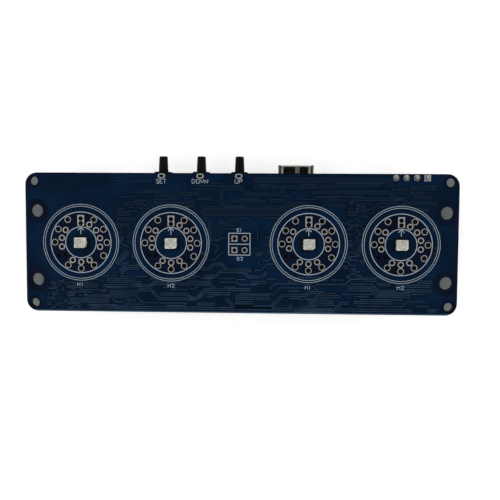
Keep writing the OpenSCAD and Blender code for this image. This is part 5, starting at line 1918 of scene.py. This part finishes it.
@dataclass(frozen=True)
class SmallParts:
    """Chip resistors and capacitors with wrapped ends, and the crystal."""

    lands: Lands
    capacitor: tuple[float, float, float] = (1.6, 0.8, 0.8)
    capacitors: tuple[Spot, ...] = (
        (-40.0, 0.0), (-17.2, 0.0), (17.2, 0.0), (40.0, 0.0), (-14.98, -16.0), (-4.38, -16.0), (6.22, -16.0),
        (-10.775, 7.05), (2.975, 12.35), (34.65, -16.0))
    big: tuple[float, float, float] = (3.2, 1.6, 0.6)
    bigs: tuple[Spot, ...] = ((-28.6, 0.2), (-28.6, 2.8), (28.6, 0.2), (28.6, 2.8))
    small: tuple[float, float, float] = (1.6, 0.8, 0.45)
    smalls: tuple[Spot, ...] = ((-5.2, -2.6), (-5.2, -0.6), (-5.2, 1.4), (5.2, -2.6), (5.2, -0.6), (5.2, 1.4))
    crystal: Spot = (-12.275, 10.75)

    def part(self, body: Shell, ends: Shell, size: Sequence[float], at: Spot) -> None:
        """Add one part: a fired body between two tinned ends."""
        long, wide, high = size
        cap = 0.18 * long
        place = hung(*at)
        body.stack(rounded(long - cap, wide - 0.05, 0.06, steps=2), [(0.03, -0.04), (0.07, 0), (high - 0.07, 0),
                                                                     (high - 0.025, -0.04)], place)
        for side in (-1, 1):
            ends.stack(rounded(cap, wide, 0.07, (side * (long - cap) / 2, 0), 2),
                       [(0, -0.05), (0.05, 0), (high - 0.06, 0), (high, -0.05)], place)
            self.lands.add(place, side * (long / 2 - 0.05), 0, cap + 0.55, wide + 0.2)

    def build(self) -> None:
        """Make every small part."""
        bodies, glazed, ends = Shell(), Shell(), Shell()
        for at in self.capacitors:
            self.part(bodies, ends, self.capacitor, at)
        for size, places in ((self.big, self.bigs), (self.small, self.smalls)):
            for at in places:
                self.part(glazed, ends, size, at)
        enlist(bodies.piece("ceramic_bodies", Finishes.BODY_TAN), "capacitor_tan",
               replaces=("chip_capacitors",))
        enlist(glazed.piece("glazed_bodies", Finishes.GLAZE), "resistor_black", replaces=("chip_resistors",))
        enlist(ends.piece("tinned_ends", Finishes.LEAD), "tinned_leads")
        enlist(eased_copy("crystal_can", ["crystal"], Finishes.CRYSTAL, 0.07), "crystal_metal",
               replaces=("crystal",))
        for sx in (-1, 1):
            for sy in (-1, 1):
                self.lands.add(hung(*self.crystal), sx * 1.2, sy * 0.9, 1.3, 1.1)
        LOG.info("small parts: 4 pieces")


WIDE_LEAD = Gull(0.42, 1.05, 0.85, 0.5, 0.15)
CHIPS = (
    Chip("driver", ("driver_bodies", "driver_leads"), (9.9, 3.9, 1.7), WIDE_LEAD, 1.27, 8, (90, 270),
         ((-41, 12, 0), (-14.98, -12.2, 0), (-4.38, -12.2, 0), (6.22, -12.2, 0), (40, 12, 0))),
    Chip("small_chip", ("small_chip_bodies", "small_chip_leads"), (4.9, 3.9, 1.7), WIDE_LEAD, 1.27, 4,
         (90, 270), ((2.975, 8.55, 0), (21.25, 9.55, 90))),
    Chip("microcontroller", ("microcontroller_body", "microcontroller_leads"), (7.0, 7.0, 1.4),
         Gull(0.37, 1.0, 0.7, 0.5, 0.12), 0.8, 8, (0, 90, 180, 270), ((-5.075, 8.55, 0),)),
)


@dataclass(frozen=True)
class Transistors:
    """The four small transistors, with two leads on one side and one on the other."""

    lands: Lands
    places: tuple[Spot, ...] = ((-7.7, -3.2), (-7.7, 0.4), (7.7, -3.2), (7.7, 0.4))
    size: tuple[float, float, float] = (1.3, 2.9, 1.0)
    lead: Gull = Gull(0.4, 0.55, 0.6, 0.3, 0.12)
    pitch: float = 0.95

    def build(self) -> None:
        """Make the bodies and the leads."""
        shell, paths = Shell(), []
        wide, long, high = self.size
        for at in self.places:
            place = hung(*at)
            levels = [(0.1, -0.08), (0.5, 0), (0.62, 0), (high + 0.06, -0.1), (high + 0.1, -0.14)]
            shell.stack(rounded(wide, long, 0.16, steps=2), levels, place)
            for turn, y in ((0, self.pitch), (0, -self.pitch), (180, 0)):
                spin = place @ spun(turn, wide / 2, y)
                paths.append(moved(spin, self.lead.path()))
                self.lands.add(spin, self.lead.reach - 0.1, 0, 0.8, 0.7)
        enlist(shell.piece("transistor_shells", Finishes.EPOXY), "chip_black", replaces=("transistor_bodies",))
        enlist(strips("transistor_legs", paths, Finishes.LEAD, self.lead.width, self.lead.thick, None, 0.08),
               "tinned_leads", replaces=("transistor_leads",))
        LOG.info("transistors: 2 pieces")


# The studio


@dataclass(frozen=True)
class Studio:
    """A pale floor, soft lamps at the sides, a soft sky and the photo's camera. Sizes in metres."""

    floor: float = -0.0102
    floor_size: float = 30.0
    camera_at: tuple[float, float, float] = (0.01214, 0.01335, 0.20074)
    looking: tuple[float, float, float] = (-0.0476, -0.0746, -0.9961)
    up: tuple[float, float, float] = (-0.0088, 0.9972, -0.0743)
    lens: float = 57.7
    horizon: float = 1.0
    lift_off: tuple[float, float] = (0.08, 0.86)
    zenith: float = 0.26
    lamp_distance: float = 0.9
    lamp_size: float = 0.7
    lamp_watts: float = 1.12
    lamp_angles: tuple[tuple[float, float], ...] = ((35, 48), (145, 48), (215, 48), (325, 48))

    def sky(self) -> None:
        """Light from all round that is brighter near the horizon than overhead."""
        world = bpy.data.worlds.new("soft_sky")
        bpy.context.scene.world = world
        world.use_nodes = True
        world.node_tree.nodes.clear()
        graph = Graph(world.node_tree)
        direction = graph.get("ShaderNodeTexCoord", key="Generated")
        height = graph.get("ShaderNodeSeparateXYZ", None, {0: direction}, "Z")
        strength = self.horizon - height.ease(*self.lift_off) * (self.horizon - self.zenith)
        light = graph.get("ShaderNodeBackground", None, {"Color": (1, 1, 1, 1), "Strength": strength})
        graph.node("ShaderNodeOutputWorld", inputs={"Surface": light})

    def lamps(self) -> None:
        """Soft lamps that point at the board."""
        for i, (azimuth, elevation) in enumerate(self.lamp_angles):
            a, e = math.radians(azimuth), math.radians(elevation)
            towards = Vector((math.cos(a) * math.cos(e), math.sin(a) * math.cos(e), math.sin(e)))
            data = bpy.data.lights.new(f"side_lamp_{i}", "AREA")
            data.energy = self.lamp_watts
            data.size = self.lamp_size
            lamp = bpy.data.objects.new(data.name, data)
            lamp.location = towards * self.lamp_distance
            lamp.rotation_euler = towards.to_track_quat("Z", "Y").to_euler()
            bpy.context.scene.collection.objects.link(lamp)

    def camera(self) -> None:
        """The photo's camera."""
        data = bpy.data.cameras.new("photo_camera")
        data.lens = self.lens
        data.clip_start = 0.001
        made = bpy.data.objects.new(data.name, data)
        back = -Vector(self.looking).normalized()
        right = Vector(self.up).cross(back).normalized()
        over = back.cross(right)
        turn = Matrix((right, over, back)).transposed().to_4x4()
        made.matrix_world = Matrix.Translation(self.camera_at) @ turn
        bpy.context.scene.collection.objects.link(made)
        bpy.context.scene.camera = made

    def build(self) -> None:
        """Lay the floor and set the light and the camera."""
        half = self.floor_size / 2
        mesh = bpy.data.meshes.new("floor")
        mesh.from_pydata([(-half, -half, self.floor), (half, -half, self.floor), (half, half, self.floor),
                          (-half, half, self.floor)], [], [(0, 1, 2, 3)])
        mesh.materials.append(Finishes.FLOOR.material())
        floor = bpy.data.objects.new("floor", mesh)
        bpy.context.scene.collection.objects.link(floor)
        self.sky()
        self.lamps()
        self.camera()
        bpy.context.scene.view_settings.view_transform = "Standard"


def main() -> None:
    """Build every sub-assembly in order."""
    logging.basicConfig(level=logging.INFO, format="%(message)s")
    layout, lands = Layout(), Lands()
    for part in (PrintedFace(layout), Underface(layout), Legend(layout), PlatedHoles(layout),
                 TubeLamps(layout), Buttons(layout, lands), PowerSocket(lands), Header(layout),
                 Reservoirs(lands), CoinCell(lands), Converter(lands)):
        part.build()
    for chip in CHIPS:
        chip.build(lands)
    SmallParts(lands).build()
    Transistors(lands).build()
    lands.build()
    Studio().build()


if __name__ == "__main__":
    main()
